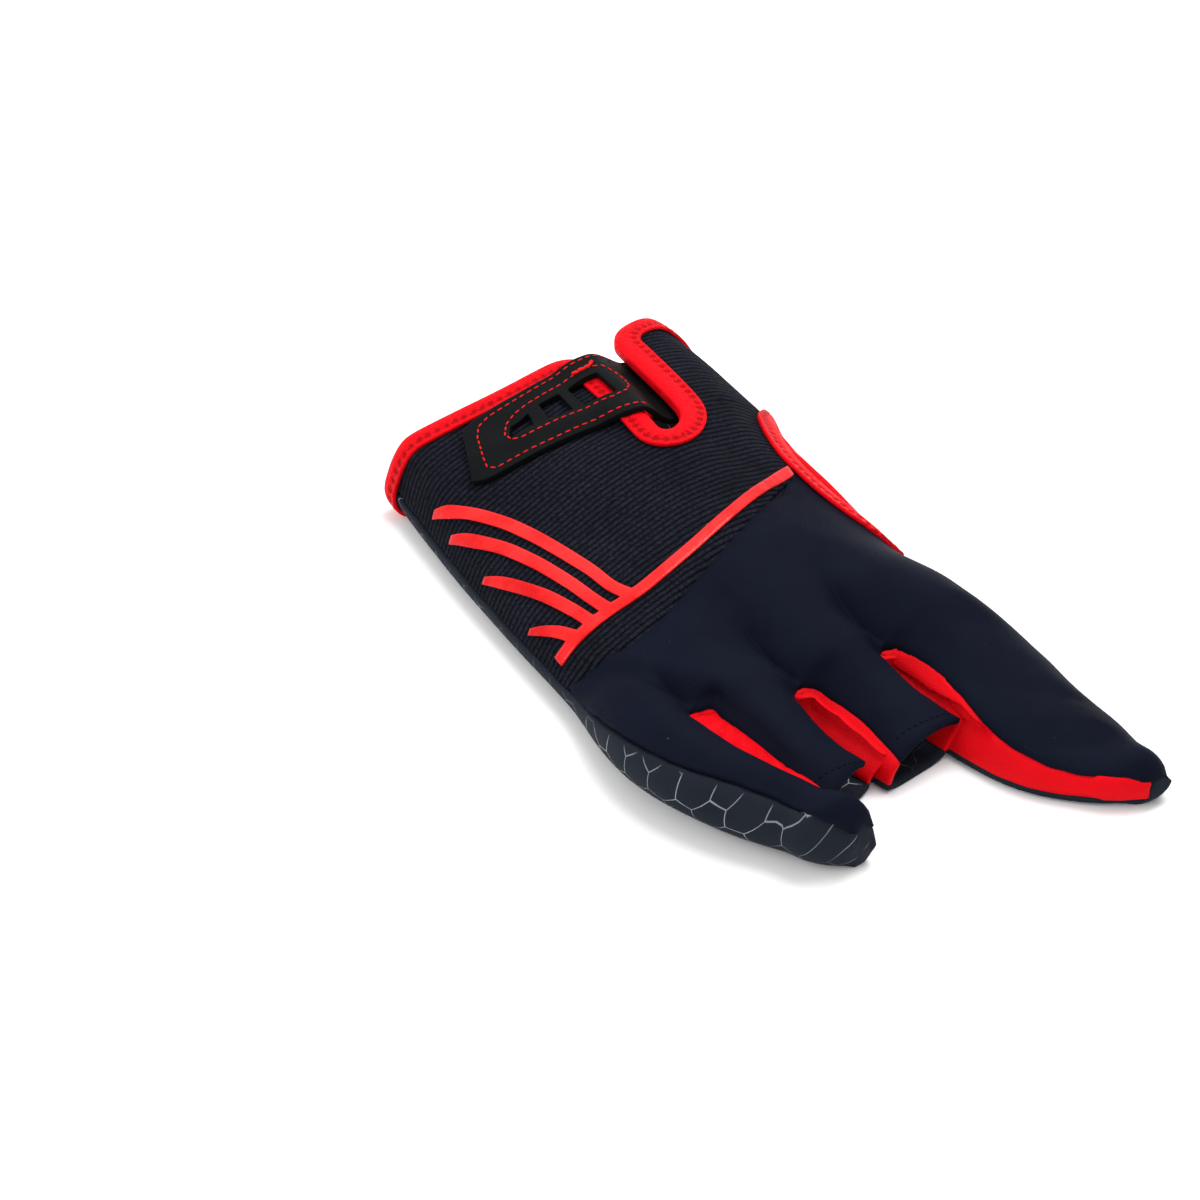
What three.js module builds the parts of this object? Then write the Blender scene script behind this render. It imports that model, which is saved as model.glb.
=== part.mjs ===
import * as THREE from "three";

// Right-hand bowling glove lying on its palm. Millimetres, +X to the fingertips, +Y to the
// thumb side, +Z up. All form functions work in a pattern frame with the cuff at X = 0.

// Overall sizes of the glove as it lies.
const GLOVE_LENGTH = 186;
const PALM_WIDTH = 92;
const GLOVE_HEIGHT = 29;

// Cloth thicknesses.
const KNIT_WALL = 1.2;
const LYCRA_WALL = 1.1;
const PALM_WALL = 1.2;
const GUSSET_WALL = 0.9;
const TAPE_WALL = 0.8;
const STRAP_WALL = 1.6;
const FILM_WALL = 0.5;

// Fits between sewn pieces.
const SEWN_GAP = 0.35;
const WALL_GAP = 0.95;
const TAPE_GAP = 0.42;
const FILM_GAP = 0.4;
const STRAP_GAP = 0.4;

// Binding, slit and strap sizes.
const TAPE_WIDTH = 5;
const TAPE_INSET = 0.5;
const SLIT_LENGTH = 41.5;
const SLIT_HALF = 5.4;
const SLIT_CORNER = 7;
const SLIT_SHARE_AT_CUFF = 0.63;
const SLIT_SHARE_AT_END = 0.6;
const CUFF_LIFT = 1.4;
const LIP_HEIGHT = 1;
const GUSSET_FOLD = 0.6;

// Stripe film sizes.
const SPINE_WIDTH = 3.2;
const STRIPE_WIDTH = 2.7;

// Share of the palm cloth taken by each turned-up side wall.
const WALL_SHARE = 0.1;
// Share across over which a surface's slope is taken.
const STEP = 0.004;

// Share of the palm width at which each finger starts, little finger first.
const FINGER_SHARES = [0, 0.16, 0.42, 0.68, 1];
// Stations along the length, as shares of it, between which palm form turns into finger form.
const BLEND_START = 0.5;
const BLEND_END = 0.612;
// Share of the length over which the cuff's cross section turns into the knuckles' one.
const PROFILE_BLEND = 0.3;

// Crown of the back of the hand: length share, height.
const PALM_CROWN = [
  [-0.032, 0.948],
  [0, 0.966],
  [0.134, 1],
  [0.194, 1],
  [0.323, 0.931],
  [0.489, 0.845],
  [0.554, 0.793],
  [0.618, 0.741],
  [0.667, 0.707],
];
// Wall under the little-finger seam: length share, seam across and height, bulge across and
// height, foot across.
const LITTLE_SIDE = [
  [-0.032, -0.332, 0.241, -0.345, 0.062, -0.283],
  [0, -0.342, 0.241, -0.355, 0.062, -0.293],
  [0.134, -0.391, 0.234, -0.404, 0.062, -0.342],
  [0.194, -0.413, 0.234, -0.426, 0.062, -0.364],
  [0.323, -0.451, 0.234, -0.464, 0.062, -0.402],
  [0.489, -0.495, 0.269, -0.513, 0.083, -0.446],
  [0.554, -0.53, 0.379, -0.565, 0.121, -0.478],
  [0.618, -0.547, 0.49, -0.609, 0.19, -0.495],
  [0.667, -0.543, 0.531, -0.615, 0.207, -0.487],
  [0.715, -0.513, 0.552, -0.602, 0.207, -0.462],
  [0.774, -0.454, 0.566, -0.57, 0.207, -0.422],
  [0.817, -0.411, 0.517, -0.507, 0.193, -0.376],
  [0.855, -0.357, 0.407, -0.426, 0.152, -0.326],
  [0.873, -0.307, 0.262, -0.354, 0.117, -0.3],
];
// Wall under the index-side seam, same columns.
const INDEX_SIDE = [
  [-0.032, 0.609, 0.172, 0.617, 0.048, 0.554],
  [0.194, 0.609, 0.172, 0.617, 0.055, 0.543],
  [0.226, 0.596, 0.179, 0.58, 0.069, 0.505],
  [0.258, 0.583, 0.193, 0.548, 0.086, 0.478],
  [0.328, 0.558, 0.207, 0.517, 0.093, 0.451],
  [0.419, 0.522, 0.2, 0.487, 0.086, 0.429],
  [0.457, 0.511, 0.197, 0.485, 0.069, 0.433],
  [0.489, 0.5, 0.193, 0.509, 0.055, 0.44],
  [0.656, 0.495, 0.207, 0.503, 0.052, 0.44],
  [0.753, 0.491, 0.2, 0.5, 0.052, 0.438],
  [0.844, 0.465, 0.179, 0.474, 0.048, 0.415],
  [0.887, 0.467, 0.172, 0.475, 0.048, 0.42],
  [0.93, 0.454, 0.159, 0.462, 0.045, 0.413],
  [0.968, 0.437, 0.145, 0.445, 0.041, 0.407],
  [0.989, 0.417, 0.138, 0.423, 0.055, 0.402],
];
// Slots between fingers: length share, then for the finger on the little-finger side and the one
// on the index side: top edge across, top edge height, bottom edge across.
const SLOT_RING_LITTLE = [
  [0.618, -0.372, 0.483, -0.376, -0.372, 0.483, -0.376],
  [0.624, -0.38, 0.493, -0.385, -0.363, 0.479, -0.368],
  [0.656, -0.397, 0.517, -0.384, -0.346, 0.469, -0.366],
  [0.715, -0.389, 0.534, -0.373, -0.332, 0.393, -0.351],
  [0.753, -0.373, 0.528, -0.357, -0.321, 0.338, -0.336],
  [0.796, -0.335, 0.49, -0.326, -0.289, 0.283, -0.309],
  [0.817, -0.314, 0.441, -0.307, -0.274, 0.269, -0.291],
  [0.855, -0.278, 0.345, -0.276, -0.272, 0.269, -0.283],
  [0.873, -0.271, 0.248, -0.272, -0.272, 0.269, -0.283],
];
const SLOT_MIDDLE_RING = [
  [0.656, -0.109, 0.462, -0.116, -0.109, 0.462, -0.116],
  [0.661, -0.118, 0.455, -0.124, -0.096, 0.455, -0.109],
  [0.677, -0.136, 0.441, -0.129, -0.074, 0.441, -0.11],
  [0.715, -0.152, 0.4, -0.125, -0.05, 0.4, -0.107],
  [0.753, -0.146, 0.345, -0.115, -0.043, 0.352, -0.091],
  [0.796, -0.114, 0.286, -0.102, -0.043, 0.269, -0.078],
  [0.817, -0.104, 0.269, -0.098, -0.043, 0.248, -0.074],
];
const SLOT_INDEX_MIDDLE = [
  [0.656, 0.148, 0.455, 0.137, 0.148, 0.455, 0.137],
  [0.661, 0.139, 0.448, 0.129, 0.158, 0.459, 0.143],
  [0.677, 0.126, 0.438, 0.111, 0.174, 0.466, 0.128],
  [0.715, 0.12, 0.393, 0.102, 0.196, 0.455, 0.117],
  [0.753, 0.13, 0.355, 0.104, 0.193, 0.441, 0.118],
  [0.79, 0.152, 0.31, 0.11, 0.183, 0.431, 0.123],
  [0.806, 0.157, 0.297, 0.113, 0.177, 0.414, 0.127],
  [0.844, 0.157, 0.297, 0.113, 0.167, 0.379, 0.137],
  [0.876, 0.157, 0.297, 0.113, 0.176, 0.345, 0.152],
  [0.914, 0.157, 0.297, 0.113, 0.212, 0.297, 0.191],
  [0.946, 0.157, 0.297, 0.113, 0.261, 0.262, 0.248],
  [0.973, 0.157, 0.297, 0.113, 0.321, 0.221, 0.311],
  [0.989, 0.157, 0.297, 0.113, 0.37, 0.166, 0.363],
];
// Crown height along each finger: length share, height.
const LITTLE_CROWN = [
  [0.554, 0.655],
  [0.618, 0.634],
  [0.64, 0.634],
  [0.715, 0.631],
  [0.774, 0.61],
  [0.817, 0.566],
  [0.855, 0.448],
  [0.873, 0.297],
];
const RING_CROWN = [
  [0.618, 0.69],
  [0.656, 0.655],
  [0.715, 0.517],
  [0.753, 0.424],
  [0.796, 0.345],
  [0.817, 0.317],
];
const MIDDLE_CROWN = [
  [0.656, 0.707],
  [0.677, 0.662],
  [0.731, 0.538],
  [0.774, 0.421],
  [0.806, 0.338],
];
const INDEX_CROWN = [
  [0.656, 0.707],
  [0.694, 0.655],
  [0.731, 0.593],
  [0.79, 0.531],
  [0.844, 0.493],
  [0.876, 0.455],
  [0.914, 0.4],
  [0.946, 0.345],
  [0.973, 0.283],
  [0.989, 0.2],
];
// Lines across the back of the hand: share across, length share.
const CUFF_LINE = [
  [0, -0.013],
  [0.05, -0.008],
  [0.17, 0.005],
  [0.36, 0.022],
  [0.57, 0.027],
  [0.71, 0.022],
  [0.89, 0.004],
  [1, 0.005],
];
const KNUCKLE_LINE = [
  [0, 0.473],
  [0.08, 0.489],
  [0.17, 0.5],
  [0.4, 0.473],
  [0.62, 0.43],
  [0.85, 0.382],
  [1, 0.355],
];
const CROTCH_LINE = [
  [0, 0.618],
  [0.16, 0.618],
  [0.42, 0.656],
  [1, 0.656],
];
// How far the back reaches across beside the thumb hole: length share, share across.
const THUMB_EDGE = [
  [0.194, 1],
  [0.199, 0.968],
  [0.21, 0.947],
  [0.231, 0.924],
  [0.263, 0.902],
  [0.296, 0.885],
  [0.328, 0.873],
  [0.366, 0.876],
  [0.403, 0.893],
  [0.441, 0.925],
  [0.473, 0.958],
  [0.485, 0.978],
  [0.489, 1],
];
// Rise over the seam line across the back, at the cuff and at the knuckles: share across, rise.
const CUFF_RISE = [
  [0, 0], [0.045, 0.46], [0.157, 0.63], [0.34, 0.82], [0.53, 0.95], [0.7, 1], [0.83, 0.95],
  [0.9, 0.75], [0.96, 0.42], [1, 0],
];
const KNUCKLE_RISE = [
  [0, 0], [0.04, 0.24], [0.1, 0.42], [0.19, 0.6], [0.41, 0.92], [0.55, 1], [0.76, 0.86],
  [0.88, 0.56], [0.95, 0.3], [1, 0],
];

// A table as smooth columns: each column follows its points without overshoot.
function track(table, units) {
  const rows = table.map((row) => row.map((value, i) => value * units[i]));
  const steps = rows.slice(1).map((row, i) => row.map((v, c) => (v - rows[i][c]) / (row[0] - rows[i][0])));
  const slopes = rows.map((row, i) => row.map((v, c) => {
    if (i === 0) return steps[0][c];
    if (i === rows.length - 1) return steps[i - 1][c];
    const [before, after] = [steps[i - 1][c], steps[i][c]];
    return before * after <= 0 ? 0 : 2 * before * after / (before + after);
  }));
  return (x, column = 1) => {
    const last = rows.length - 1;
    if (x <= rows[0][0]) return rows[0][column];
    if (x >= rows[last][0]) return rows[last][column];
    let i = 0;
    while (x > rows[i + 1][0]) i += 1;
    const span = rows[i + 1][0] - rows[i][0];
    const t = (x - rows[i][0]) / span;
    const bend = 3 * t * t - 2 * t * t * t;
    return rows[i][column] * (1 - bend) + rows[i + 1][column] * bend
      + span * (t - 2 * t * t + t * t * t) * slopes[i][column]
      + span * (t * t * t - t * t) * slopes[i + 1][column];
  };
}
const mix = (a, b, t) => a + (b - a) * t;
const smooth = (t) => {
  const s = Math.min(1, Math.max(0, t));
  return s * s * (3 - 2 * s);
};
const spread = (count) => Array.from({ length: count + 1 }, (_, i) => i / count);

const [LONG, WIDE, HIGH] = [GLOVE_LENGTH, PALM_WIDTH, GLOVE_HEIGHT];
const SLOT_UNITS = [LONG, WIDE, HIGH, WIDE, WIDE, HIGH, WIDE];
const palmCrown = track(PALM_CROWN, [LONG, HIGH]);
const littleSide = track(LITTLE_SIDE, [LONG, WIDE, HIGH, WIDE, HIGH, WIDE]);
const indexSide = track(INDEX_SIDE, [LONG, WIDE, HIGH, WIDE, HIGH, WIDE]);
const slots = [SLOT_RING_LITTLE, SLOT_MIDDLE_RING, SLOT_INDEX_MIDDLE]
  .map((table) => track(table, SLOT_UNITS));
const crowns = [LITTLE_CROWN, RING_CROWN, MIDDLE_CROWN, INDEX_CROWN]
  .map((table) => track(table, [LONG, HIGH]));
const cuffLine = track(CUFF_LINE, [1, LONG]);
const knuckleLine = track(KNUCKLE_LINE, [1, LONG]);
const crotchLine = track(CROTCH_LINE, [1, LONG]);
const thumbEdge = track(THUMB_EDGE, [LONG, 1]);
const cuffRise = track(CUFF_RISE, [1, 1]);
const knuckleRise = track(KNUCKLE_RISE, [1, 1]);

// Finger at a share across: 0 is the little finger, 3 the index finger.
const fingerOf = (share) => FINGER_SHARES.slice(1, 4).filter((edge) => share >= edge).length;
const blendAt = (x) => smooth((x / LONG - BLEND_START) / (BLEND_END - BLEND_START));

// Back of one finger: local share across from its little-finger edge to its index edge.
function fingerBack(finger, local, x) {
  const before = slots[finger - 1];
  const after = slots[finger];
  const low = finger === 0 ? [littleSide(x, 1), littleSide(x, 2)] : [before(x, 4), before(x, 5)];
  const high = finger === 3 ? [indexSide(x, 1), indexSide(x, 2)] : [after(x, 1), after(x, 2)];
  const edge = mix(low[1], high[1], local);
  const arch = 1 - Math.abs(2 * local - 1) ** 2.3;
  return [mix(low[0], high[0], local), edge + Math.max(0, crowns[finger](x) - edge) * arch];
}
// Back of the hand at a length and a share across, turning into finger backs at the knuckles.
function back(x, share) {
  const edge = mix(littleSide(x, 2), indexSide(x, 2), share);
  const rise = mix(cuffRise(share), knuckleRise(share), smooth(x / LONG / PROFILE_BLEND));
  let y = mix(littleSide(x, 1), indexSide(x, 1), share);
  let z = edge + (palmCrown(x) - edge) * rise;
  const blend = blendAt(x);
  if (blend > 0) {
    const finger = fingerOf(share);
    const local = (share - FINGER_SHARES[finger]) / (FINGER_SHARES[finger + 1] - FINGER_SHARES[finger]);
    const [fy, fz] = fingerBack(finger, local, x);
    y = mix(y, fy, blend);
    z = mix(z, fz, blend);
  }
  return new THREE.Vector3(x, y, z);
}
// One side wall of the palm cloth: climb 0 at the foot, 1 at the seam.
function wall(side, x, climb) {
  const foot = PALM_WALL / 2;
  const a = (1 - climb) ** 2;
  const b = 2 * climb * (1 - climb);
  const c = climb ** 2;
  const y = a * side(x, 5) + b * side(x, 3) + c * side(x, 1);
  const z = a * foot + b * Math.max(foot, side(x, 4)) + c * side(x, 2);
  return new THREE.Vector3(x, y, z);
}
// The cloth lifts off the surface along the cuff to leave room for its binding.
function cuffLift(x, share) {
  const past = x - cuffLine(share) - 1.2 * TAPE_WIDTH;
  return CUFF_LIFT * (1 - smooth(past / (1.6 * TAPE_WIDTH)));
}
// Palm cloth in the hand: share 0 at the little-finger seam, 1 at the index-side seam.
function palm(x, share) {
  let point;
  if (share < WALL_SHARE) point = wall(littleSide, x, 1 - share / WALL_SHARE);
  else if (share > 1 - WALL_SHARE) point = wall(indexSide, x, 1 - (1 - share) / WALL_SHARE);
  else {
    const flat = (share - WALL_SHARE) / (1 - 2 * WALL_SHARE);
    const finger = fingerOf(flat);
    const local = (flat - FINGER_SHARES[finger]) / (FINGER_SHARES[finger + 1] - FINGER_SHARES[finger]);
    const y = mix(littleSide(x, 5), indexSide(x, 5), flat);
    point = new THREE.Vector3(x, mix(y, fingerPalm(finger, local, x).y, blendAt(x)), PALM_WALL / 2);
  }
  const seamward = Math.max(1 - share / WALL_SHARE, 1 - (1 - share) / WALL_SHARE, 0);
  point.z += cuffLift(x, share) * (1 - seamward);
  return point;
}
// Height of the turned-up palm edge beside a slot.
function lipAt(slot, x) {
  const past = x - crotchLine(FINGER_SHARES[slot + 1]);
  return LIP_HEIGHT * smooth(past / (0.03 * LONG));
}
// Palm cloth of one finger, from its little-finger edge to its index edge.
function fingerPalm(finger, local, x) {
  const low = finger === 0 ? littleSide(x, 5) : slots[finger - 1](x, 6);
  const high = finger === 3 ? indexSide(x, 5) : slots[finger](x, 3);
  const nearLow = finger === 0 ? 0 : Math.max(0, 1 - 5 * local) * lipAt(finger - 1, x);
  const nearHigh = finger === 3 ? 0 : Math.max(0, 5 * local - 4) * lipAt(finger, x);
  return new THREE.Vector3(x, mix(low, high, local), PALM_WALL / 2 + nearLow + nearHigh);
}
// The whole hand as one ring: 0 to 1 over the back, 1 to 2 back under the palm.
function ring(x, turn) {
  const t = ((turn % 2) + 2) % 2;
  return t <= 1 ? back(x, t) : palm(x, 2 - t);
}
// Outward direction of the ring; forward takes the slope across on one side only.
function ringNormal(x, turn, forward) {
  const along = ring(x + 0.5, turn).sub(ring(x - 0.5, turn));
  const across = ring(x, turn + STEP).sub(ring(x, forward ? turn : turn - STEP));
  return along.cross(across).normalize();
}
const slitShare = (d) => mix(SLIT_SHARE_AT_CUFF, SLIT_SHARE_AT_END, d / SLIT_LENGTH);
// Half width of the slit at a distance from the cuff: flared corner first, round end last.
function slitHalf(d) {
  if (d >= SLIT_LENGTH) return 0;
  const round = Math.max(0, (d - SLIT_LENGTH + SLIT_HALF) / SLIT_HALF);
  const flare = Math.max(0, SLIT_CORNER - d);
  const mouth = SLIT_CORNER - Math.sqrt(SLIT_CORNER ** 2 - flare ** 2);
  return SLIT_HALF * Math.sqrt(1 - round ** 2) + mouth;
}
const acrossAt = (x) => indexSide(x, 1) - littleSide(x, 1);

// A cloth piece: quads on its middle surface, welded where they meet, then thickened both ways
// and closed along every free edge.
function cloth() {
  const points = [];
  const quads = [];
  const known = new Map();
  const index = (p) => {
    const key = [p.x, p.y, p.z].map((v) => Math.round(v * 1000)).join(" ");
    if (!known.has(key)) {
      known.set(key, points.length);
      points.push(p);
    }
    return known.get(key);
  };
  const patch = (rows, keep = () => true) => {
    for (let r = 0; r + 1 < rows.length; r += 1) {
      for (let c = 0; c + 1 < rows[r].length; c += 1) {
        if (!keep(r, c)) continue;
        const corners = [rows[r][c], rows[r + 1][c], rows[r + 1][c + 1], rows[r][c + 1]].map(index);
        const quad = corners.filter((v, i) => v !== corners[(i + 1) % 4]);
        if (quad.length > 2) quads.push(quad);
      }
    }
  };
  const solid = (wallWidth) => {
    const normals = points.map(() => new THREE.Vector3());
    for (const quad of quads) {
      const [a, b, c] = [points[quad[0]], points[quad[1]], points[quad[2]]];
      const d = points[quad[quad.length - 1]];
      const normal = c.clone().sub(a).cross(d.clone().sub(quad.length > 3 ? b : a)).normalize();
      if (quad.length === 3) normal.copy(b.clone().sub(a).cross(c.clone().sub(a)).normalize());
      quad.forEach((v) => normals[v].add(normal));
    }
    normals.forEach((n) => n.normalize());
    const count = points.length;
    const outer = points.map((p, i) => p.clone().addScaledVector(normals[i], wallWidth / 2));
    const inner = points.map((p, i) => p.clone().addScaledVector(normals[i], -wallWidth / 2));
    const faces = [];
    const edges = new Map();
    for (const quad of quads) {
      faces.push([quad[0], quad[1], quad[2]]);
      faces.push([quad[2] + count, quad[1] + count, quad[0] + count]);
      if (quad.length > 3) {
        faces.push([quad[0], quad[2], quad[3]]);
        faces.push([quad[3] + count, quad[2] + count, quad[0] + count]);
      }
      quad.forEach((from, i) => {
        const to = quad[(i + 1) % quad.length];
        edges.set(`${from} ${to}`, [from, to]);
      });
    }
    for (const [a, b] of edges.values()) {
      if (!edges.has(`${b} ${a}`)) faces.push([a, a + count, b + count], [a, b + count, b]);
    }
    return geometry([...outer, ...inner], faces);
  };
  return { patch, solid };
}
function geometry(points, faces) {
  const result = new THREE.BufferGeometry();
  const places = points.flatMap((p) => [p.x, p.y, p.z]);
  result.setAttribute("position", new THREE.Float32BufferAttribute(places, 3));
  result.setIndex(faces.flat());
  result.computeVertexNormals();
  return result;
}
// A band whose cross section, given at every station, is carried along a path.
function band(sections, closed) {
  const size = sections[0].length;
  const faces = [];
  const count = sections.length;
  for (let s = 0; s < (closed ? count : count - 1); s += 1) {
    for (let i = 0; i < size; i += 1) {
      const [a, b] = [s * size + i, s * size + (i + 1) % size];
      const [c, d] = [((s + 1) % count) * size + (i + 1) % size, ((s + 1) % count) * size + i];
      faces.push([a, b, c], [a, c, d]);
    }
  }
  if (!closed) {
    for (let i = 1; i + 1 < size; i += 1) {
      const end = (count - 1) * size;
      faces.push([0, i + 1, i], [end, end + i, end + i + 1]);
    }
  }
  return geometry(sections.flat(), faces);
}

// Back panel: one field on each side of the slit, joined past its end.
// Rows beside the slit as shares of its length, then rows past it as shares of what is left.
const SLIT_ROWS = [
  0.0096, 0.0289, 0.0723, 0.1205, 0.1687, 0.2651, 0.3855, 0.506, 0.6265,
  0.747, 0.8699, 0.9349, 0.9735, 0.9928, 1,
];
const KNIT_ROWS = [0.0321, 0.073, 0.1313, 0.2626, 0.394, 0.5107, 0.6274, 0.7442, 0.8609];
const BACK_COLUMNS = [
  0, 0.022, 0.045, 0.075, 0.115, 0.16, 0.21, 0.265, 0.33, 0.4, 0.5, 0.62, 0.74, 0.87, 1,
];
const THUMB_COLUMNS = [0, 0.09, 0.2, 0.33, 0.46, 0.58, 0.7, 0.8, 0.9, 0.96, 1];
const seamShift = SEWN_GAP / acrossAt(0);
const rowReach = cuffLine(SLIT_SHARE_AT_CUFF);
const backSpan = knuckleLine(SLIT_SHARE_AT_END) - SEWN_GAP / 2 - rowReach;
// Length station of the back panel's row at distance d, for a share across.
function backLength(d, share) {
  return mix(cuffLine(share), knuckleLine(share) - SEWN_GAP / 2, d / backSpan);
}
const holeReach = (x) => {
  const open = thumbEdge(x);
  return open < 1 ? open - TAPE_INSET / acrossAt(x) : 1 - seamShift;
};
function backRow(d, side) {
  const centre = slitShare(Math.min(d, SLIT_LENGTH));
  const half = slitHalf(d);
  const cut = half > 0 ? (half + TAPE_INSET) / acrossAt(d) : 0;
  const columns = side < 0 ? BACK_COLUMNS : THUMB_COLUMNS;
  return columns.map((c) => {
    if (side < 0) {
      const share = mix(seamShift, centre - cut, c);
      return back(backLength(d, share), share);
    }
    const free = mix(centre + cut, 1, c);
    const x = backLength(d, free);
    return back(x, mix(centre + cut, holeReach(x), c));
  });
}
const backRows = [
  ...SLIT_ROWS.map((row) => row * SLIT_LENGTH),
  ...KNIT_ROWS.map((row) => mix(SLIT_LENGTH, backSpan, row)),
  backSpan,
];
const backPanel = cloth();
backPanel.patch(backRows.map((d) => backRow(d, -1)));
backPanel.patch(backRows.map((d) => backRow(d, 1)));

// Finger backs: rows from the knuckle line to the crotches, then one tongue for each finger.
const KNUCKLE_ROWS = [0, 0.14, 0.28, 0.39, 0.447, 0.56, 0.7, 0.84, 0.94, 1];
const FINGER_COLUMNS = [0, 0.12, 0.3, 0.5, 0.7, 0.88, 1];
// Length shares of each finger's end, at its little-finger edge and at its index edge.
const FINGER_ENDS = [[0.8731, 0.8731], [0.8118, 0.7849], [0.8011, 0.793], [0.9892, 0.9892]];
const FINGER_ROWS = [
  [0.03, 0.09, 0.2, 0.34, 0.48, 0.62, 0.75, 0.86, 0.94, 1],
  [0.035, 0.12, 0.3, 0.55, 0.8, 1],
  [0.04, 0.15, 0.35, 0.58, 0.8, 1],
  [0.016, 0.065, 0.15, 0.26, 0.38, 0.5, 0.62, 0.73, 0.82, 0.9, 0.96, 1],
].map((rows) => [0, ...rows]);
function fingerLength(finger, local, t) {
  const [low, high] = [FINGER_SHARES[finger], FINGER_SHARES[finger + 1]];
  const end = mix(...FINGER_ENDS[finger], local) * GLOVE_LENGTH;
  return mix(crotchLine(mix(low, high, local)), end, t);
}
const seamIn = (finger, local, x) => {
  if (finger === 0 && local === 0) return SEWN_GAP / (FINGER_SHARES[1] * PALM_WIDTH);
  if (finger === 3 && local === 1) return 1 - SEWN_GAP / ((1 - FINGER_SHARES[3]) * PALM_WIDTH);
  return local;
};
const fingerBacks = cloth();
fingerBacks.patch(KNUCKLE_ROWS.map((t) => [0, 1, 2, 3].flatMap((finger) => {
  const [low, high] = [FINGER_SHARES[finger], FINGER_SHARES[finger + 1]];
  return FINGER_COLUMNS.slice(finger === 0 ? 0 : 1).map((local) => {
    const share = mix(low, high, seamIn(finger, local));
    const x = mix(knuckleLine(share) + SEWN_GAP / 2, crotchLine(share), t);
    return back(x, share * (thumbEdge(x) < 1 ? mix(1, holeReach(x), smooth(share * 3 - 2)) : 1));
  });
})));
for (const finger of [0, 1, 2, 3]) {
  fingerBacks.patch(FINGER_ROWS[finger].map((t) => FINGER_COLUMNS.map((local) => {
    const x = fingerLength(finger, local, t);
    const [y, z] = fingerBack(finger, seamIn(finger, local), x);
    return new THREE.Vector3(x, y, z);
  })));
}

// Palm panel: side walls and flat underside in one cloth, then one tongue for each finger.
// Rows as shares of the way from the cuff to the crotch.
const PALM_ROWS = [
  0.0035, 0.0304, 0.0565, 0.0826, 0.113, 0.2087, 0.2957, 0.3217, 0.3478, 0.3826, 0.4261,
  0.487, 0.5478, 0.6087, 0.6696, 0.7217, 0.7565, 0.7913, 0.8435, 0.8957, 0.9478, 1,
];
const LITTLE_STEPS = [0.004, 0.034, 0.067];
const INDEX_STEPS = [0.0085, 0.034, 0.067];
const PALM_LOCALS = [0, 0.2, 0.5, 0.8, 1];
const flatShares = [0, 1, 2, 3].flatMap((finger) => PALM_LOCALS.slice(finger === 0 ? 0 : 1)
  .map((local) => mix(FINGER_SHARES[finger], FINGER_SHARES[finger + 1], local)));
const flatOf = (share) => Math.min(1, Math.max(0, (share - WALL_SHARE) / (1 - 2 * WALL_SHARE)));
const palmShares = [
  ...LITTLE_STEPS,
  ...flatShares.map((flat) => mix(WALL_SHARE, 1 - WALL_SHARE, flat)),
  ...[...INDEX_STEPS].reverse().map((share) => 1 - share),
];
const palmPanel = cloth();
// Rows face down, so the columns run from the index side to the little-finger side.
palmPanel.patch(PALM_ROWS.map((row) => palmShares.map(
  (share) => palm(mix(cuffLine(share), crotchLine(flatOf(share)), row), share)).reverse()));
const climbsOf = (finger) => (finger === 0 ? LITTLE_STEPS : INDEX_STEPS)
  .map((share) => 1 - share / WALL_SHARE);
for (const finger of [0, 1, 2, 3]) {
  const rowAt = (t) => {
    const row = PALM_LOCALS.map((local) => fingerPalm(finger, local, fingerLength(finger, local, t)));
    const sideX = fingerLength(finger, finger === 0 ? 0 : 1, t);
    const side = finger === 0 ? littleSide : indexSide;
    const climb = climbsOf(finger).map((c) => wall(side, sideX, c));
    if (finger === 0) row.unshift(...climb);
    if (finger === 3) row.push(...climb.reverse());
    return row;
  };
  const rows = [...FINGER_ROWS[finger]].map(rowAt);
  if (finger === 0 || finger === 3) {
    // The closed tip: the cloth turns up to meet the finger back.
    const base = rows[rows.length - 1];
    const x = fingerLength(finger, 0.5, 1);
    const tip = base.map((point, i) => {
      const [y, z] = fingerBack(finger, seamIn(finger, i / (base.length - 1), x), x);
      return new THREE.Vector3(x + SEWN_GAP, y, z - WALL_GAP);
    });
    rows.push(base.map((point, i) => {
      const middle = point.clone().lerp(tip[i], 0.45);
      middle.x += SEWN_GAP * 4;
      return middle;
    }));
    rows.push(tip);
  }
  palmPanel.patch(rows.map((row) => row.reverse()));
}

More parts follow.
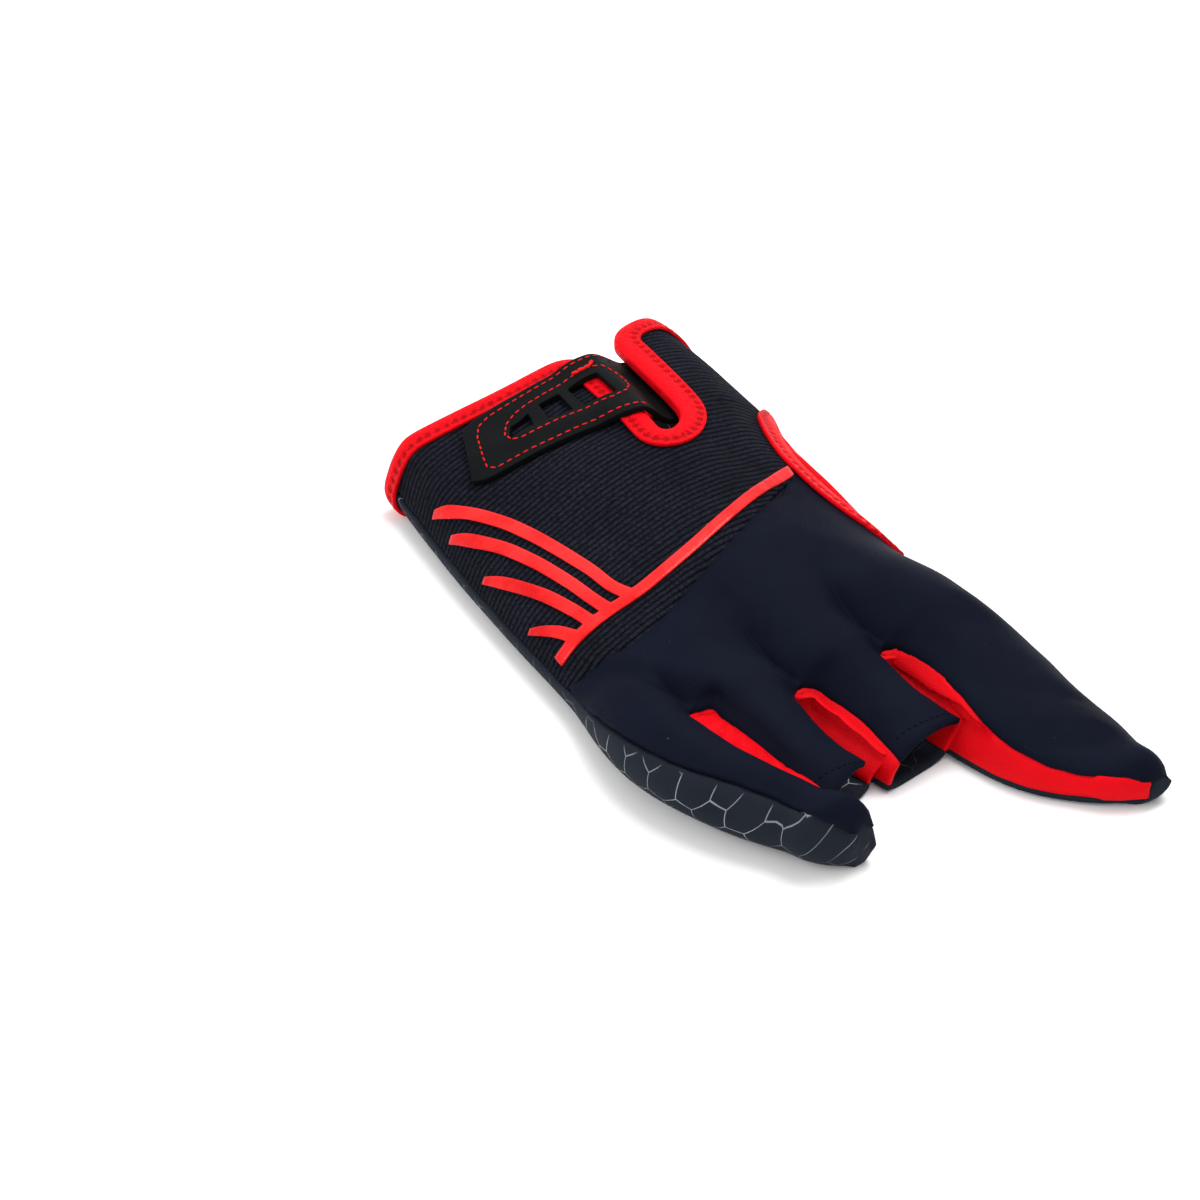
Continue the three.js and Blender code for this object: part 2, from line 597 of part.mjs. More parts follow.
// Gussets: one strip along a finger's side, round the crotch and back along the next finger.
const GUSSET_COLUMNS = [0, 0.3, 0.6, 1];
function gusset(slot) {
  const table = slots[slot];
  const station = (x, above) => {
    const [topY, topZ, footY] = (above ? [4, 5, 6] : [1, 2, 3]).map((column) => table(x, column));
    const crotch = crotchLine(FINGER_SHARES[slot + 1]);
    const top = new THREE.Vector3(x, topY, topZ);
    const foot = new THREE.Vector3(x, footY, PALM_WALL / 2 + lipAt(slot, x));
    const down = foot.clone().sub(top).normalize();
    top.addScaledVector(down, WALL_GAP);
    foot.addScaledVector(down, -WALL_GAP);
    const room = (table(x, 4) + table(x, 6) - table(x, 1) - table(x, 3)) / 2 - GUSSET_WALL - SEWN_GAP;
    const fold = Math.min(GUSSET_FOLD, Math.max(0, room / 2)) * (above ? -1 : 1) * smooth((x - crotch) / 2);
    return GUSSET_COLUMNS.map((c) => {
      const point = top.clone().lerp(foot, c);
      point.y += fold * Math.sin(Math.PI * c);
      return point;
    });
  };
  const endAt = (finger) => (finger === 0 || finger === 3 ? 0.97 : 1);
  const xs = (finger, local) => FINGER_ROWS[finger].filter((t) => t > 0)
    .map((t) => fingerLength(finger, local, Math.min(t, endAt(finger))));
  const strip = cloth();
  strip.patch([
    ...xs(slot, 1).reverse().map((x) => station(x, false)),
    station(crotchLine(FINGER_SHARES[slot + 1]), false),
    ...xs(slot + 1, 0).map((x) => station(x, true)),
  ]);
  return strip.solid(GUSSET_WALL);
}

// Folded tape over an edge: depth from the edge into the cloth, height over its middle surface.
function tape(stations, wallWidth, bends) {
  const near = wallWidth / 2 + TAPE_GAP;
  const far = near + TAPE_WALL;
  const lip = TAPE_GAP + TAPE_WALL;
  const middle = (height) => (bends ? [[TAPE_WIDTH / 2, height]] : []);
  const section = [
    [TAPE_WIDTH, far], ...middle(far), [0, far], [-lip, far / 2], [-lip, -far / 2], [0, -far], ...middle(-far),
    [TAPE_WIDTH, -far], [TAPE_WIDTH, -near], ...middle(-near), [-TAPE_GAP, -near], [-TAPE_GAP, near],
    ...middle(near), [TAPE_WIDTH, near],
  ];
  return band(stations.map(({ x, turn, nx, nt, forward, share = 1 }) => {
    const edge = ring(x, turn);
    const inward = ring(x + nx, turn + nt).sub(edge).normalize();
    return section.map(([depth, height]) => {
      const d = Math.max(0, depth) * share;
      const point = ring(x + nx * d, turn + nt * d);
      point.addScaledVector(ringNormal(x + nx * d, turn + nt * d, forward), height);
      return depth < 0 ? point.addScaledVector(inward, depth) : point;
    });
  }), true);
}
const turnSteps = [0, 18, 36, 54, 72, 90].map((degrees) => THREE.MathUtils.degToRad(degrees));
// Slit edge station: along, half width and the direction into the cloth.
function slitStation(d, half, side, alongPart, acrossPart) {
  const share = slitShare(Math.min(d, SLIT_LENGTH)) + side * half / acrossAt(d);
  const x = backLength(d, share);
  return { x, turn: share, nx: alongPart, nt: side * acrossPart / acrossAt(x) };
}
const roundEnd = (side) => turnSteps.map((a) => slitStation(
  SLIT_LENGTH - SLIT_HALF * (1 - Math.sin(a)), SLIT_HALF * Math.cos(a), side, Math.sin(a), Math.cos(a)));
const straight = (side) => [0.289, 0.434, 0.578, 0.723]
  .map((share) => slitStation(share * SLIT_LENGTH, SLIT_HALF, side, 0, 1));
const mouth = (side) => turnSteps.map((a) => slitStation(
  SLIT_CORNER * (1 - Math.sin(a)), SLIT_HALF + SLIT_CORNER * (1 - Math.cos(a)), side, Math.sin(a), Math.cos(a)));
const cuffStation = (turn) => ({ x: cuffLine(turn <= 1 ? turn : 2 - turn), turn, nx: 1, nt: 0 });
const MOUTH_HALF = (SLIT_HALF + SLIT_CORNER) / acrossAt(0);
const lowShare = SLIT_SHARE_AT_CUFF - MOUTH_HALF;
const highShare = SLIT_SHARE_AT_CUFF + MOUTH_HALF;
const LITTLE_CUFF = [0.88, 0.74, 0.6, 0.46, 0.34, 0.24, 0.16, 0.1, 0.05, 0.02];
const PALM_CUFF = [
  1.998, 1.975, 1.95, 1.925, 1.9, 1.86, 1.8, 1.7, 1.6, 1.5, 1.4, 1.3, 1.2, 1.14, 1.1, 1.07, 1.04, 1.01,
];
const INDEX_CUFF = [0.985, 0.95, 0.9, 0.82, 0.7, 0.58, 0.46, 0.33, 0.2, 0.09];
const cuffPath = [
  ...roundEnd(-1).reverse(), ...straight(-1).reverse(), ...mouth(-1),
  ...LITTLE_CUFF.map((c) => cuffStation(lowShare * c)),
  ...PALM_CUFF.map(cuffStation),
  ...INDEX_CUFF.map((c) => cuffStation(mix(highShare, 1, c))),
  ...mouth(1).reverse(), ...straight(1), ...roundEnd(1).slice(0, -1),
];
// Thumb hole: the back's edge, then the palm's edge the other way.
const HOLE_START = THUMB_EDGE[0][0] * LONG;
const HOLE_END = THUMB_EDGE[THUMB_EDGE.length - 1][0] * LONG;
// Stations where the rows of the back panel and of the finger backs meet the hole.
const THUMB_STATIONS = [
  ...backRows.map((d) => backLength(d, 1)),
  ...KNUCKLE_ROWS.map((t) => mix(knuckleLine(1) + SEWN_GAP / 2, crotchLine(1), t)),
].filter((x, i, all) => x > HOLE_START + 0.6 && x < HOLE_END - 1 && x - all[i - 1] > 0.6);
// Near the ends of the hole the tape gets narrower, where its two arms meet.
const armShare = (x) => Math.min(1, 0.25 + Math.min(x - HOLE_START, HOLE_END - x) / 12);
const thumbBack = THUMB_STATIONS.map((x) => {
  const edgeAt = (s) => littleSide(s, 1) + thumbEdge(s) * acrossAt(s);
  const slope = edgeAt(x + 0.5) - edgeAt(x - 0.5);
  const length = Math.hypot(slope, 1);
  return { x, turn: thumbEdge(x), nx: slope / length, nt: -1 / length / acrossAt(x), share: armShare(x) };
});
const thumbPalm = [...THUMB_STATIONS].reverse().map((x) => {
  const reach = wall(indexSide, x, 1).distanceTo(wall(indexSide, x, 0));
  return { x, turn: 1, nx: 0, nt: WALL_SHARE / reach, forward: true, share: armShare(x) };
});
const thumbPath = [
  { x: HOLE_START, turn: 1, nx: -1, nt: 0, share: armShare(HOLE_START) }, ...thumbBack,
  { x: HOLE_END, turn: 1, nx: 1, nt: 0, share: armShare(HOLE_END) }, ...thumbPalm,
].reverse();

// Point over the back of the hand from a place in plan and a height over the knit's middle.
function over(x, y, height) {
  const share = (y - littleSide(x, 1)) / acrossAt(x);
  return back(x, share).addScaledVector(ringNormal(x, share), height);
}
// Wrist strap: rows across its width at columns from the free end to the end under the tape.
const onKnit = KNIT_WALL / 2 + STRAP_GAP + STRAP_WALL / 2;
const onTape = onKnit + TAPE_GAP + TAPE_WALL;
// Columns: length share and width share of the cuff-side edge, the same of the finger-side edge,
// and the layer height.
const STRAP_COLUMNS = [
  [0.0516, -0.1913, 0.1355, -0.2783, onKnit],
  [0.0462, -0.1587, 0.1484, -0.2543, onKnit],
  [0.0473, -0.125, 0.1527, -0.2174, onKnit],
  [0.0484, -0.0815, 0.1581, -0.1696, onKnit],
  [0.0495, -0.0478, 0.1624, -0.1326, onKnit],
  [0.0505, -0.0239, 0.1656, -0.1043, onKnit],
  [0.0511, 0.0152, 0.171, -0.0565, onKnit],
  [0.0516, 0.0348, 0.1742, -0.0326, onKnit],
  [0.0527, 0.0674, 0.1806, 0.0109, onKnit],
  [0.0538, 0.0891, 0.186, 0.0435, onKnit],
  [0.0548, 0.1304, 0.1935, 0.087, onTape],
  [0.0565, 0.1739, 0.1989, 0.125, onTape],
  [0.0581, 0.2065, 0.2022, 0.1543, onTape],
  [0.0602, 0.2457, 0.2043, 0.1848, 0],
  [0.0624, 0.2826, 0.2065, 0.2174, -onTape],
  [0.0645, 0.3152, 0.2086, 0.25, -onTape],
  [0.0667, 0.3587, 0.2108, 0.3, -onTape],
];
const STRAP_LINES = [0, 0.2, 0.36, 0.5, 0.64, 0.8, 1];
const strap = cloth();
strap.patch(STRAP_COLUMNS.map(([cx, cy, fx, fy, height]) => STRAP_LINES.map(
  (line) => over(mix(cx, fx, line) * GLOVE_LENGTH, mix(cy, fy, line) * PALM_WIDTH, height))),
(column, line) => line < 2 || line > 3 || column < 3 || column > 10 || column === 5 || column === 8);

// Stripe film: a spine across the hand and four stripes running back toward the cuff.
const onFilm = KNIT_WALL / 2 + FILM_GAP + FILM_WALL / 2;
const filmPoint = (x, share) => back(x, share).addScaledVector(ringNormal(x, share), onFilm);
// Spine stations: length share and share across; a stripe starts after each station marked 1.
const SPINE = [
  [0.366, 0.8, 0], [0.377, 0.745, 0], [0.389, 0.69, 0], [0.401, 0.635, 0], [0.412, 0.578, 0], [0.42, 0.53, 0],
  [0.427, 0.48, 0], [0.434, 0.42, 0], [0.439, 0.36, 0], [0.442, 0.295, 0],
  [0.442, 0.238, 1], [0.441, 0.205, 0], [0.439, 0.178, 1], [0.438, 0.146, 0], [0.437, 0.13, 1],
  [0.437, 0.1, 0], [0.437, 0.082, 1], [0.437, 0.052, 0], [0.437, 0.02, 0],
];
// Stripe centre lines from the spine to the free end: length share, share across, width share.
const STRIPES = [
  [
    [0.41, 0.205, 1], [0.37, 0.197, 1], [0.325, 0.178, 1], [0.272, 0.153, 1], [0.222, 0.121, 1],
    [0.177, 0.081, 1], [0.141, 0.045, 0.8], [0.112, 0.022, 0.35],
  ],
  [
    [0.405, 0.153, 1], [0.357, 0.14, 1], [0.302, 0.117, 1], [0.252, 0.087, 1], [0.201, 0.045, 0.8],
    [0.162, 0.02, 0.35],
  ],
  [[0.405, 0.108, 1], [0.35, 0.084, 1], [0.291, 0.045, 0.8], [0.252, 0.02, 0.35]],
  [[0.41, 0.055, 0.9], [0.392, 0.04, 0.7], [0.368, 0.02, 0.35]],
];
const film = cloth();
const spineEdge = (side) => SPINE.map(
  ([along, share]) => filmPoint(along * LONG + side * SPINE_WIDTH / 2, share));
const [cuffEdge, fingerEdge] = [spineEdge(-1), spineEdge(1)];
film.patch(SPINE.map((_, i) => [cuffEdge[i], fingerEdge[i]]));
const starts = SPINE.map(([, , start], i) => (start ? i : -1)).filter((i) => i >= 0);
// A table with a row halfway between each pair of its rows.
const halved = (list) => list.flatMap((row, i) => {
  if (i === 0) return [row];
  return [row.map((value, c) => mix(list[i - 1][c], value, 0.5)), row];
});
STRIPES.map(halved).forEach((stripe, s) => {
  const from = starts[s];
  film.patch([
    [cuffEdge[from], cuffEdge[from + 1]],
    ...stripe.map(([along, share, width], i) => {
      const [nextAlong, nextShare] = stripe[Math.min(i + 1, stripe.length - 1)];
      const [lastAlong, lastShare] = stripe[Math.max(i - 1, 0)];
      const run = (nextAlong - lastAlong) * LONG;
      const rise = (nextShare - lastShare) * PALM_WIDTH;
      const half = width * STRIPE_WIDTH / 2 / Math.hypot(run, rise);
      return [1, -1].map((side) => filmPoint(
        along * LONG + side * rise * half, share - side * run * half / PALM_WIDTH));
    }),
  ]);
});

// The ten pieces, moved so that the middle of the glove stands over the origin.
const pieces = [
  ["back_panel", backPanel.solid(KNIT_WALL), 0x12141f],
  ["finger_back", fingerBacks.solid(LYCRA_WALL), 0x141826],
  ["palm_panel", palmPanel.solid(PALM_WALL), 0x161a24],
  ["gusset_index_middle", gusset(2), 0xd81020],
  ["gusset_middle_ring", gusset(1), 0xd81020],
  ["gusset_ring_little", gusset(0), 0xd81020],
  ["cuff_binding", tape(cuffPath, KNIT_WALL, true), 0xe0182a],
  ["thumb_binding", tape(thumbPath, KNIT_WALL, true), 0xe0182a],
  ["wrist_strap", strap.solid(STRAP_WALL), 0x17181b],
  ["stripe_print", film.solid(FILM_WALL), 0xe03030],
];
const box = new THREE.Box3();
for (const [, shape] of pieces) {
  shape.computeBoundingBox();
  box.union(shape.boundingBox);
}
const group = new THREE.Group();
group.name = "bowling_glove";
for (const [name, shape, color] of pieces) {
  shape.translate(-(box.min.x + box.max.x) / 2, -(box.min.y + box.max.y) / 2, -box.min.z);
  const mesh = new THREE.Mesh(shape, new THREE.MeshStandardMaterial({ color, roughness: 0.8 }));
  mesh.name = name;
  group.add(mesh);
}
export default group;
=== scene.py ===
# Right-hand bowling glove lying on its palm: ribbed knit over the back of the hand, smooth stretch
# cloth over the fingers, a printed palm, red gussets between the fingers, red bound edges, a glossy
# red print and a black wrist strap. Lengths are in metres, in the part's own frame.
import math

import bmesh
import bpy
from mathutils import Matrix, Vector, noise
from mathutils.bvhtree import BVHTree
from mathutils.kdtree import KDTree


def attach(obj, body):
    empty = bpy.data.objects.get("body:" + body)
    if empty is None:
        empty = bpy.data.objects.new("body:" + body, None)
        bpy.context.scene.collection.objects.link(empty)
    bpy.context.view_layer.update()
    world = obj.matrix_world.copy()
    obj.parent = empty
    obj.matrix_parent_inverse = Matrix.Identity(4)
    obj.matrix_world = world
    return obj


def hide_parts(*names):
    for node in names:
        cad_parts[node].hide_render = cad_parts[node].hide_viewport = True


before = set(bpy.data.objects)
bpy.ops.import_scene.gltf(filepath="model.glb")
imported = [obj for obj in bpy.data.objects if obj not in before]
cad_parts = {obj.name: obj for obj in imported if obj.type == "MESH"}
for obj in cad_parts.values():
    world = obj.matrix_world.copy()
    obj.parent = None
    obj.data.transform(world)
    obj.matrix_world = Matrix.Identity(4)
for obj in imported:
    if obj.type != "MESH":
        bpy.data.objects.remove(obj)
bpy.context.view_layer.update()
MM = 0.001


# BACK PANEL. Ribbed stretch knit over the back of the hand, its ribs running across the hand.
# It is cut round the wrist slit and sewn, edges turned in, to the finger cloth and the palm.
CUT_EDGE = math.radians(50)
MERGE = 0.002 * MM
CLOTH_SWELL = 0.22 * MM


def cut_from(node, name, levels, swell):
    """A copy of a sewn piece with quads for its pairs of triangles, its cut edges kept crisp,
    smoothed by subdivision and grown by a hair, so that sewn edges meet."""
    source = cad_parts[node]
    work = bmesh.new()
    work.from_mesh(source.data)
    work.transform(source.matrix_world)
    bmesh.ops.remove_doubles(work, verts=work.verts, dist=MERGE)
    bmesh.ops.join_triangles(work, faces=work.faces[:], angle_face_threshold=math.radians(60),
                             angle_shape_threshold=math.radians(179))
    crease = work.edges.layers.float.new("crease_edge")
    for edge in work.edges:
        if len(edge.link_faces) == 2 and edge.calc_face_angle() > CUT_EDGE:
            edge[crease] = 0.8
    mesh = bpy.data.meshes.new(name)
    work.to_mesh(mesh)
    work.free()
    piece = bpy.data.objects.new(name, mesh)
    bpy.context.collection.objects.link(piece)
    smooth = piece.modifiers.new("smooth", "SUBSURF")
    smooth.levels = smooth.render_levels = levels
    graph = bpy.context.evaluated_depsgraph_get()
    finished = bpy.data.meshes.new_from_object(piece.evaluated_get(graph))
    piece.modifiers.clear()
    piece.data = finished
    finished.name = name
    if swell:
        normals = [vertex.normal.copy() for vertex in finished.vertices]
        for vertex, normal in zip(finished.vertices, normals):
            vertex.co += normal * swell
    finished.shade_smooth()
    return piece


def places_on(nodes, sharp=None, pitch=1.5 * MM):
    """A lookup of places along the edges of some nodes: all of them, or only those sharp enough."""
    places = []
    for node in nodes:
        work = bmesh.new()
        work.from_mesh(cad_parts[node].data)
        bmesh.ops.remove_doubles(work, verts=work.verts, dist=MERGE)
        for edge in work.edges:
            if sharp is None or (len(edge.link_faces) == 2 and edge.calc_face_angle() > sharp):
                steps = max(1, int(edge.calc_length() / pitch))
                ends = [vertex.co for vertex in edge.verts]
                places += [ends[0].lerp(ends[1], (i + 0.5) / steps) for i in range(steps)]
        work.free()
    tree = KDTree(len(places))
    for i, place in enumerate(places):
        tree.insert(place, i)
    tree.balance()
    return tree, places


# The sewn lines: cut edges of the panels that no tape covers.
tapes, _ = places_on(("cuff_binding", "thumb_binding"))
_, cut_edges = places_on(("back_panel", "finger_back", "palm_panel"), CUT_EDGE)
cut_edges = [place for place in cut_edges if tapes.find(place)[2] > 3 * MM]
seams = KDTree(len(cut_edges))
for number, place in enumerate(cut_edges):
    seams.insert(place, number)
seams.balance()


def held(value):
    """A share, kept between none and all."""
    return min(1.0, max(0.0, value))


def sew(piece, node, others):
    """Draws a piece's cut edge halfway to the edges that it is sewn to, which closes the seam."""
    rest = [other for other in others if other != node]
    partners, _ = places_on(rest, CUT_EDGE, 0.25 * MM)
    moves = []
    for vertex in piece.data.vertices:
        place, _, away = partners.find(vertex.co)
        pull = 0.5 * held((1.5 - away / MM) / 0.5)
        moves.append((place - vertex.co) * pull)
    for vertex, move in zip(piece.data.vertices, moves):
        vertex.co += move


PANELS = ("back_panel", "finger_back", "palm_panel")
GUSSETS = ("gusset_index_middle", "gusset_middle_ring", "gusset_ring_little")

# Soft folds of the worn cloth in plan: start, end, half width and rise, in millimetres.
FOLDS = [
    ((-74, -30), (-60, 2), 3.2, 0.7),
    ((-70, -22), (-52, 8), 3.0, -0.6),
    ((-4, -45), (20, -36), 2.4, -1.3),
    ((0, -40), (24, -31), 3.0, 0.9),
    ((10, 6), (34, 30), 6.0, 0.7),
    ((20, 14), (46, 34), 5.0, -0.8),
    ((2, -12), (22, -20), 5.0, -0.5),
    ((-8, 12), (16, 20), 6.5, 0.6),
    ((58, 20), (70, 34), 2.6, -0.8),
    ((66, 17), (78, 32), 2.2, 0.6),
    ((76, 18), (84, 30), 1.8, -0.6),
    ((-40, 20), (-14, 24), 5.5, -0.6),
    ((-58, 36), (-40, 30), 3.5, 0.5),
]


def drape(piece, puckers=1.0):
    """Lets a piece follow the glove's soft folds and dip along its sewn seams, with small puckers.
    The same rule moves every piece, so that neighbours stay together."""
    folds = []
    for start, end, width, rise in FOLDS:
        start, end = Vector(start) * MM, Vector(end) * MM
        way = end - start
        folds.append((start, way.normalized(), way.length, width * MM, rise * MM))
    for vertex in piece.data.vertices:
        spot = vertex.co
        lift = held((spot.z / MM - 3) / 5)
        up = 0.0
        for start, along, length, width, rise in folds:
            place = spot.xy - start
            t = place.dot(along) / length
            if -0.3 < t < 1.3:
                side = (place.x * along.y - place.y * along.x) / width
                ends = min(1.0, (t + 0.3) / 0.45, (1.3 - t) / 0.45)
                up += rise * ends * math.exp(-side * side)
        near = max(0.0, 1 - seams.find(spot)[2] / (4.2 * MM))
        if near > 0:
            pucker = noise.noise(spot / (3.6 * MM))
            up += near * near * (-0.45 + 0.55 * pucker) * puckers * MM
        vertex.co.z += lift * (up + 0.16 * MM * noise.noise(spot / (11 * MM)))


def add(tree, kind, settings=None, **inputs):
    """One shader node with its settings made and its sockets given numbers, or links from others.
    An input is called by its name, or by i and its number."""
    node = tree.nodes.new("ShaderNode" + kind)
    for key, value in (settings or {}).items():
        setattr(node, key, value)
    for key, value in inputs.items():
        numbered = key[0] == "i" and key[1:].isdigit()
        socket = node.inputs[int(key[1:]) if numbered else key.replace("_", " ")]
        if isinstance(value, bpy.types.NodeSocket):
            tree.links.new(value, socket)
        else:
            socket.default_value = value
    return node


def worked(tree, operation, *values, clamp=False):
    """The result of a calculation on numbers or on other nodes' results."""
    inputs = {f"i{number}": value for number, value in enumerate(values)}
    return add(tree, "Math", {"operation": operation, "use_clamp": clamp}, **inputs).outputs[0]


def placed(tree, operation, *values, **named):
    """The result of a calculation on places: a place, or a plain number for a length or a dot."""
    inputs = {f"i{number}": value for number, value in enumerate(values)}
    node = add(tree, "VectorMath", {"operation": operation}, **inputs, **named)
    return node.outputs["Value" if operation in ("LENGTH", "DOT_PRODUCT") else "Vector"]


def ranged(tree, value, low, high, to_low=0.0, to_high=1.0, **settings):
    """A value whose range from low to high is stretched to another range, and kept inside it."""
    node = add(tree, "MapRange", settings, i0=value, i1=low, i2=high, i3=to_low, i4=to_high)
    return node.outputs[0]


def patches(tree, place, scale, detail=2.0, **named):
    """Soft random patches over the surface; the larger the scale, the smaller they are."""
    return add(tree, "TexNoise", i0=place, Scale=scale, Detail=detail, **named).outputs[0]


def mixed(tree, share, first, second):
    """A colour between two others, by a share."""
    return add(tree, "Mix", {"data_type": "RGBA"}, i0=share, i6=first, i7=second).outputs[2]


def raised(tree, shader, height, relief, **under):
    """Relief joined to the shader, over the relief under it where there is one."""
    bump = add(tree, "Bump", Height=height, Distance=relief, **under).outputs[0]
    tree.links.new(bump, shader.inputs["Normal"])
    return bump


def finish_named(name, roughness, sheen, sheen_roughness, tint, level=0.3, ior=1.2):
    """A material with the plain numbers of its shader set on the shader itself."""
    material = bpy.data.materials.new(name)
    material.use_nodes = True
    shader = material.node_tree.nodes["Principled BSDF"]
    shader.inputs["Roughness"].default_value = roughness
    shader.inputs["Sheen Weight"].default_value = sheen
    shader.inputs["Sheen Roughness"].default_value = sheen_roughness
    shader.inputs["Sheen Tint"].default_value = tint
    shader.inputs["Specular IOR Level"].default_value = level
    shader.inputs["IOR"].default_value = ior
    return material, material.node_tree, shader


def new_effect(name, inputs, outputs):
    """An empty node group for an effect that several finishes share."""
    group = bpy.data.node_groups.new(name, "ShaderNodeTree")
    for label, kind, value in inputs:
        socket = group.interface.new_socket(label, in_out="INPUT", socket_type=kind)
        if value is not None:
            socket.default_value = value
    for label, kind in outputs:
        group.interface.new_socket(label, in_out="OUTPUT", socket_type=kind)
    return group, group.nodes.new("NodeGroupInput"), group.nodes.new("NodeGroupOutput")


# Fine yarn texture that every cloth here shares: crossing yarns, fuzz, and slow shade changes.
yarn, yarn_in, yarn_out = new_effect(
    "yarn_surface",
    [("Place", "NodeSocketVector", None), ("Yarn Pitch", "NodeSocketFloat", 0.6 * MM)],
    [("Height", "NodeSocketFloat"), ("Shade", "NodeSocketFloat"), ("Lint", "NodeSocketFloat")])
on_cloth = yarn_in.outputs["Place"]
yarn_turns = worked(yarn, "DIVIDE", 2 * math.pi, yarn_in.outputs["Yarn Pitch"])
yarn_axes = add(yarn, "SeparateXYZ", i0=placed(yarn, "SCALE", on_cloth, Scale=yarn_turns)).outputs
warp_yarn = worked(yarn, "SINE", yarn_axes["X"])
weft_yarn = worked(yarn, "SINE", worked(yarn, "ADD", yarn_axes["Y"], yarn_axes["Z"]))
crossing = worked(yarn, "MULTIPLY", warp_yarn, weft_yarn)
fuzz = patches(yarn, on_cloth, 2600.0)
yarn.links.new(worked(yarn, "MULTIPLY_ADD", crossing, 0.5, fuzz), yarn_out.inputs["Height"])
slow = patches(yarn, on_cloth, 38.0, 3.0, Roughness=0.6)
yarn.links.new(ranged(yarn, slow, 0.3, 0.7), yarn_out.inputs["Shade"])
lint = patches(yarn, on_cloth, 900.0, 1.0)
yarn.links.new(ranged(yarn, lint, 0.8, 0.87), yarn_out.inputs["Lint"])


def dress(tree, shader, dark, light, pitch, relief, lint_colour=(0.04, 0.045, 0.06, 1)):
    """Joins the shared yarn surface to a finish and returns its place, colour and relief."""
    place = add(tree, "TexCoord").outputs["Object"]
    effect = tree.nodes.new("ShaderNodeGroup")
    effect.node_tree = yarn
    tree.links.new(place, effect.inputs["Place"])
    effect.inputs["Yarn Pitch"].default_value = pitch
    shades = mixed(tree, effect.outputs["Shade"], dark, light)
    colour = mixed(tree, effect.outputs["Lint"], shades, lint_colour)
    tree.links.new(colour, shader.inputs["Base Color"])
    return place, colour, raised(tree, shader, effect.outputs["Height"], relief)


RIB_PITCH = 1.55 * MM
RIB_WANDER = 1.6 * MM
RIB_RELIEF = 0.42 * MM
back = cut_from("back_panel", "back_panel_knit", 2, CLOTH_SWELL)
sew(back, "back_panel", PANELS)
drape(back)
knit, knit_tree, knit_shader = finish_named(
    "ribbed_knit", 0.8, 0.012, 0.5, (0.5, 0.58, 0.9, 1), 0.2, 1.15)
place, knit_colour, knit_yarn = dress(
    knit_tree, knit_shader, (0.0044, 0.0048, 0.0078, 1), (0.0076, 0.0082, 0.0130, 1),
    0.5 * MM, 0.06 * MM)
# The ribs wander a little, painted shade darkens their grooves and painted light brightens their tops,
# and their loops show as small dots.
knit_along = add(knit_tree, "SeparateXYZ", i0=place).outputs["X"]
knit_wander = patches(knit_tree, place, 45.0)
knit_shift = worked(knit_tree, "MULTIPLY_ADD", knit_wander, RIB_WANDER, knit_along)
knit_turn = worked(knit_tree, "MULTIPLY", knit_shift, math.pi / RIB_PITCH)
knit_rib = worked(knit_tree, "ABSOLUTE", worked(knit_tree, "SINE", knit_turn))
knit_round = worked(knit_tree, "POWER", knit_rib, 0.6)
# Painted shade in the rib grooves and painted light on the rib tops, scaled from the rib's height.
knit_rib_painted_light = ranged(knit_tree, knit_round, 0.35, 0.95, 0.22, 1.35)
knit_loops = patches(knit_tree, place, 1300.0, 1.0)
knit_dots = ranged(knit_tree, knit_loops, 0.35, 0.65, 0.6, 1.45)
knit_painted_light_and_dots = worked(knit_tree, "MULTIPLY", knit_rib_painted_light, knit_dots)
knit_colour_with_painted_light = placed(knit_tree, "SCALE", knit_colour, Scale=knit_painted_light_and_dots)
knit_tree.links.new(knit_colour_with_painted_light, knit_shader.inputs["Base Color"])
raised(knit_tree, knit_shader, knit_round, RIB_RELIEF, Normal=knit_yarn)
back.data.materials.clear()
back.data.materials.append(knit)
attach(back, "root")
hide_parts("back_panel")

# FINGER BACKS. One piece of smooth stretch cloth over the knuckles and all four fingers, sewn to
# the knit behind, to the palm at both sides, and to the red gussets between the fingers.

# Middle line of each slot in plan, its half width, and the height of its sewn top edge, in
# millimetres: x, y, half width, height.
SLOTS = {
    "index_middle": [
        (30.8, 11.2, 0, 13.2), (34.7, 11.4, 2.2, 13.0), (41.8, 12.1, 3.5, 12.4),
        (48.8, 12.4, 2.9, 11.8), (56, 13, 1.5, 11.2), (60, 13, 1.2, 10.6), (66, 13, 0, 10.6),
    ],
    "middle_ring": [
        (30.8, -12.5, 0, 13.4), (34.7, -12.1, 2.8, 12.8), (41.8, -11.7, 4.6, 11.6),
        (48.8, -11.1, 4.6, 10.1), (56.8, -9.7, 3.2, 8.1), (60.8, -9.2, 2.8, 7.4),
    ],
    "ring_little": [
        (23.7, -36.7, 0, 14), (30.8, -36.6, 2.3, 14.2), (41.8, -35.6, 2.6, 13.4),
        (48.8, -34.4, 2.4, 12.4), (56.8, -31.1, 2.1, 11.2), (60.8, -29.5, 1.8, 10), (66, -28, 0, 9),
    ],
}
# How far the edges of each slot open, in millimetres: round its closed end, on the side of the
# little finger and on that of the index finger, and then along it, on the same two sides.
SLOT_OPENING = {
    "index_middle": (1.4, 1.4, 0.5, 0.4),
    "middle_ring": (1.4, 1.4, 0.4, 0.2),
    "ring_little": (0.8, 2.8, 0.0, 3.0),
}
# The closed ends of the index and little finger: where they start and end in x and their middle
# in y, in millimetres, and how much wider and higher the cloth is there.
BLUNT_TIPS = ((82, 92, 32.5, 0.1, 0.3), (61, 71, -28.2, 0.5, 0.42))
# The same two tips, which curl down at their end: the tip's x, and the reach of y, in millimetres.
CURLED_TIPS = ((92.8, 0, 60), (71.2, -60, -24))


def slot_at(line, x):
    """Middle, half width and top height of a slot at a place along it."""
    stretch = max(1, min(len(line) - 1, sum(1 for point in line if point[0] <= x)))
    a, b = line[stretch - 1], line[stretch]
    share = held((x - a[0]) / (b[0] - a[0]))
    return (a[k] + (b[k] - a[k]) * share for k in (1, 2, 3))


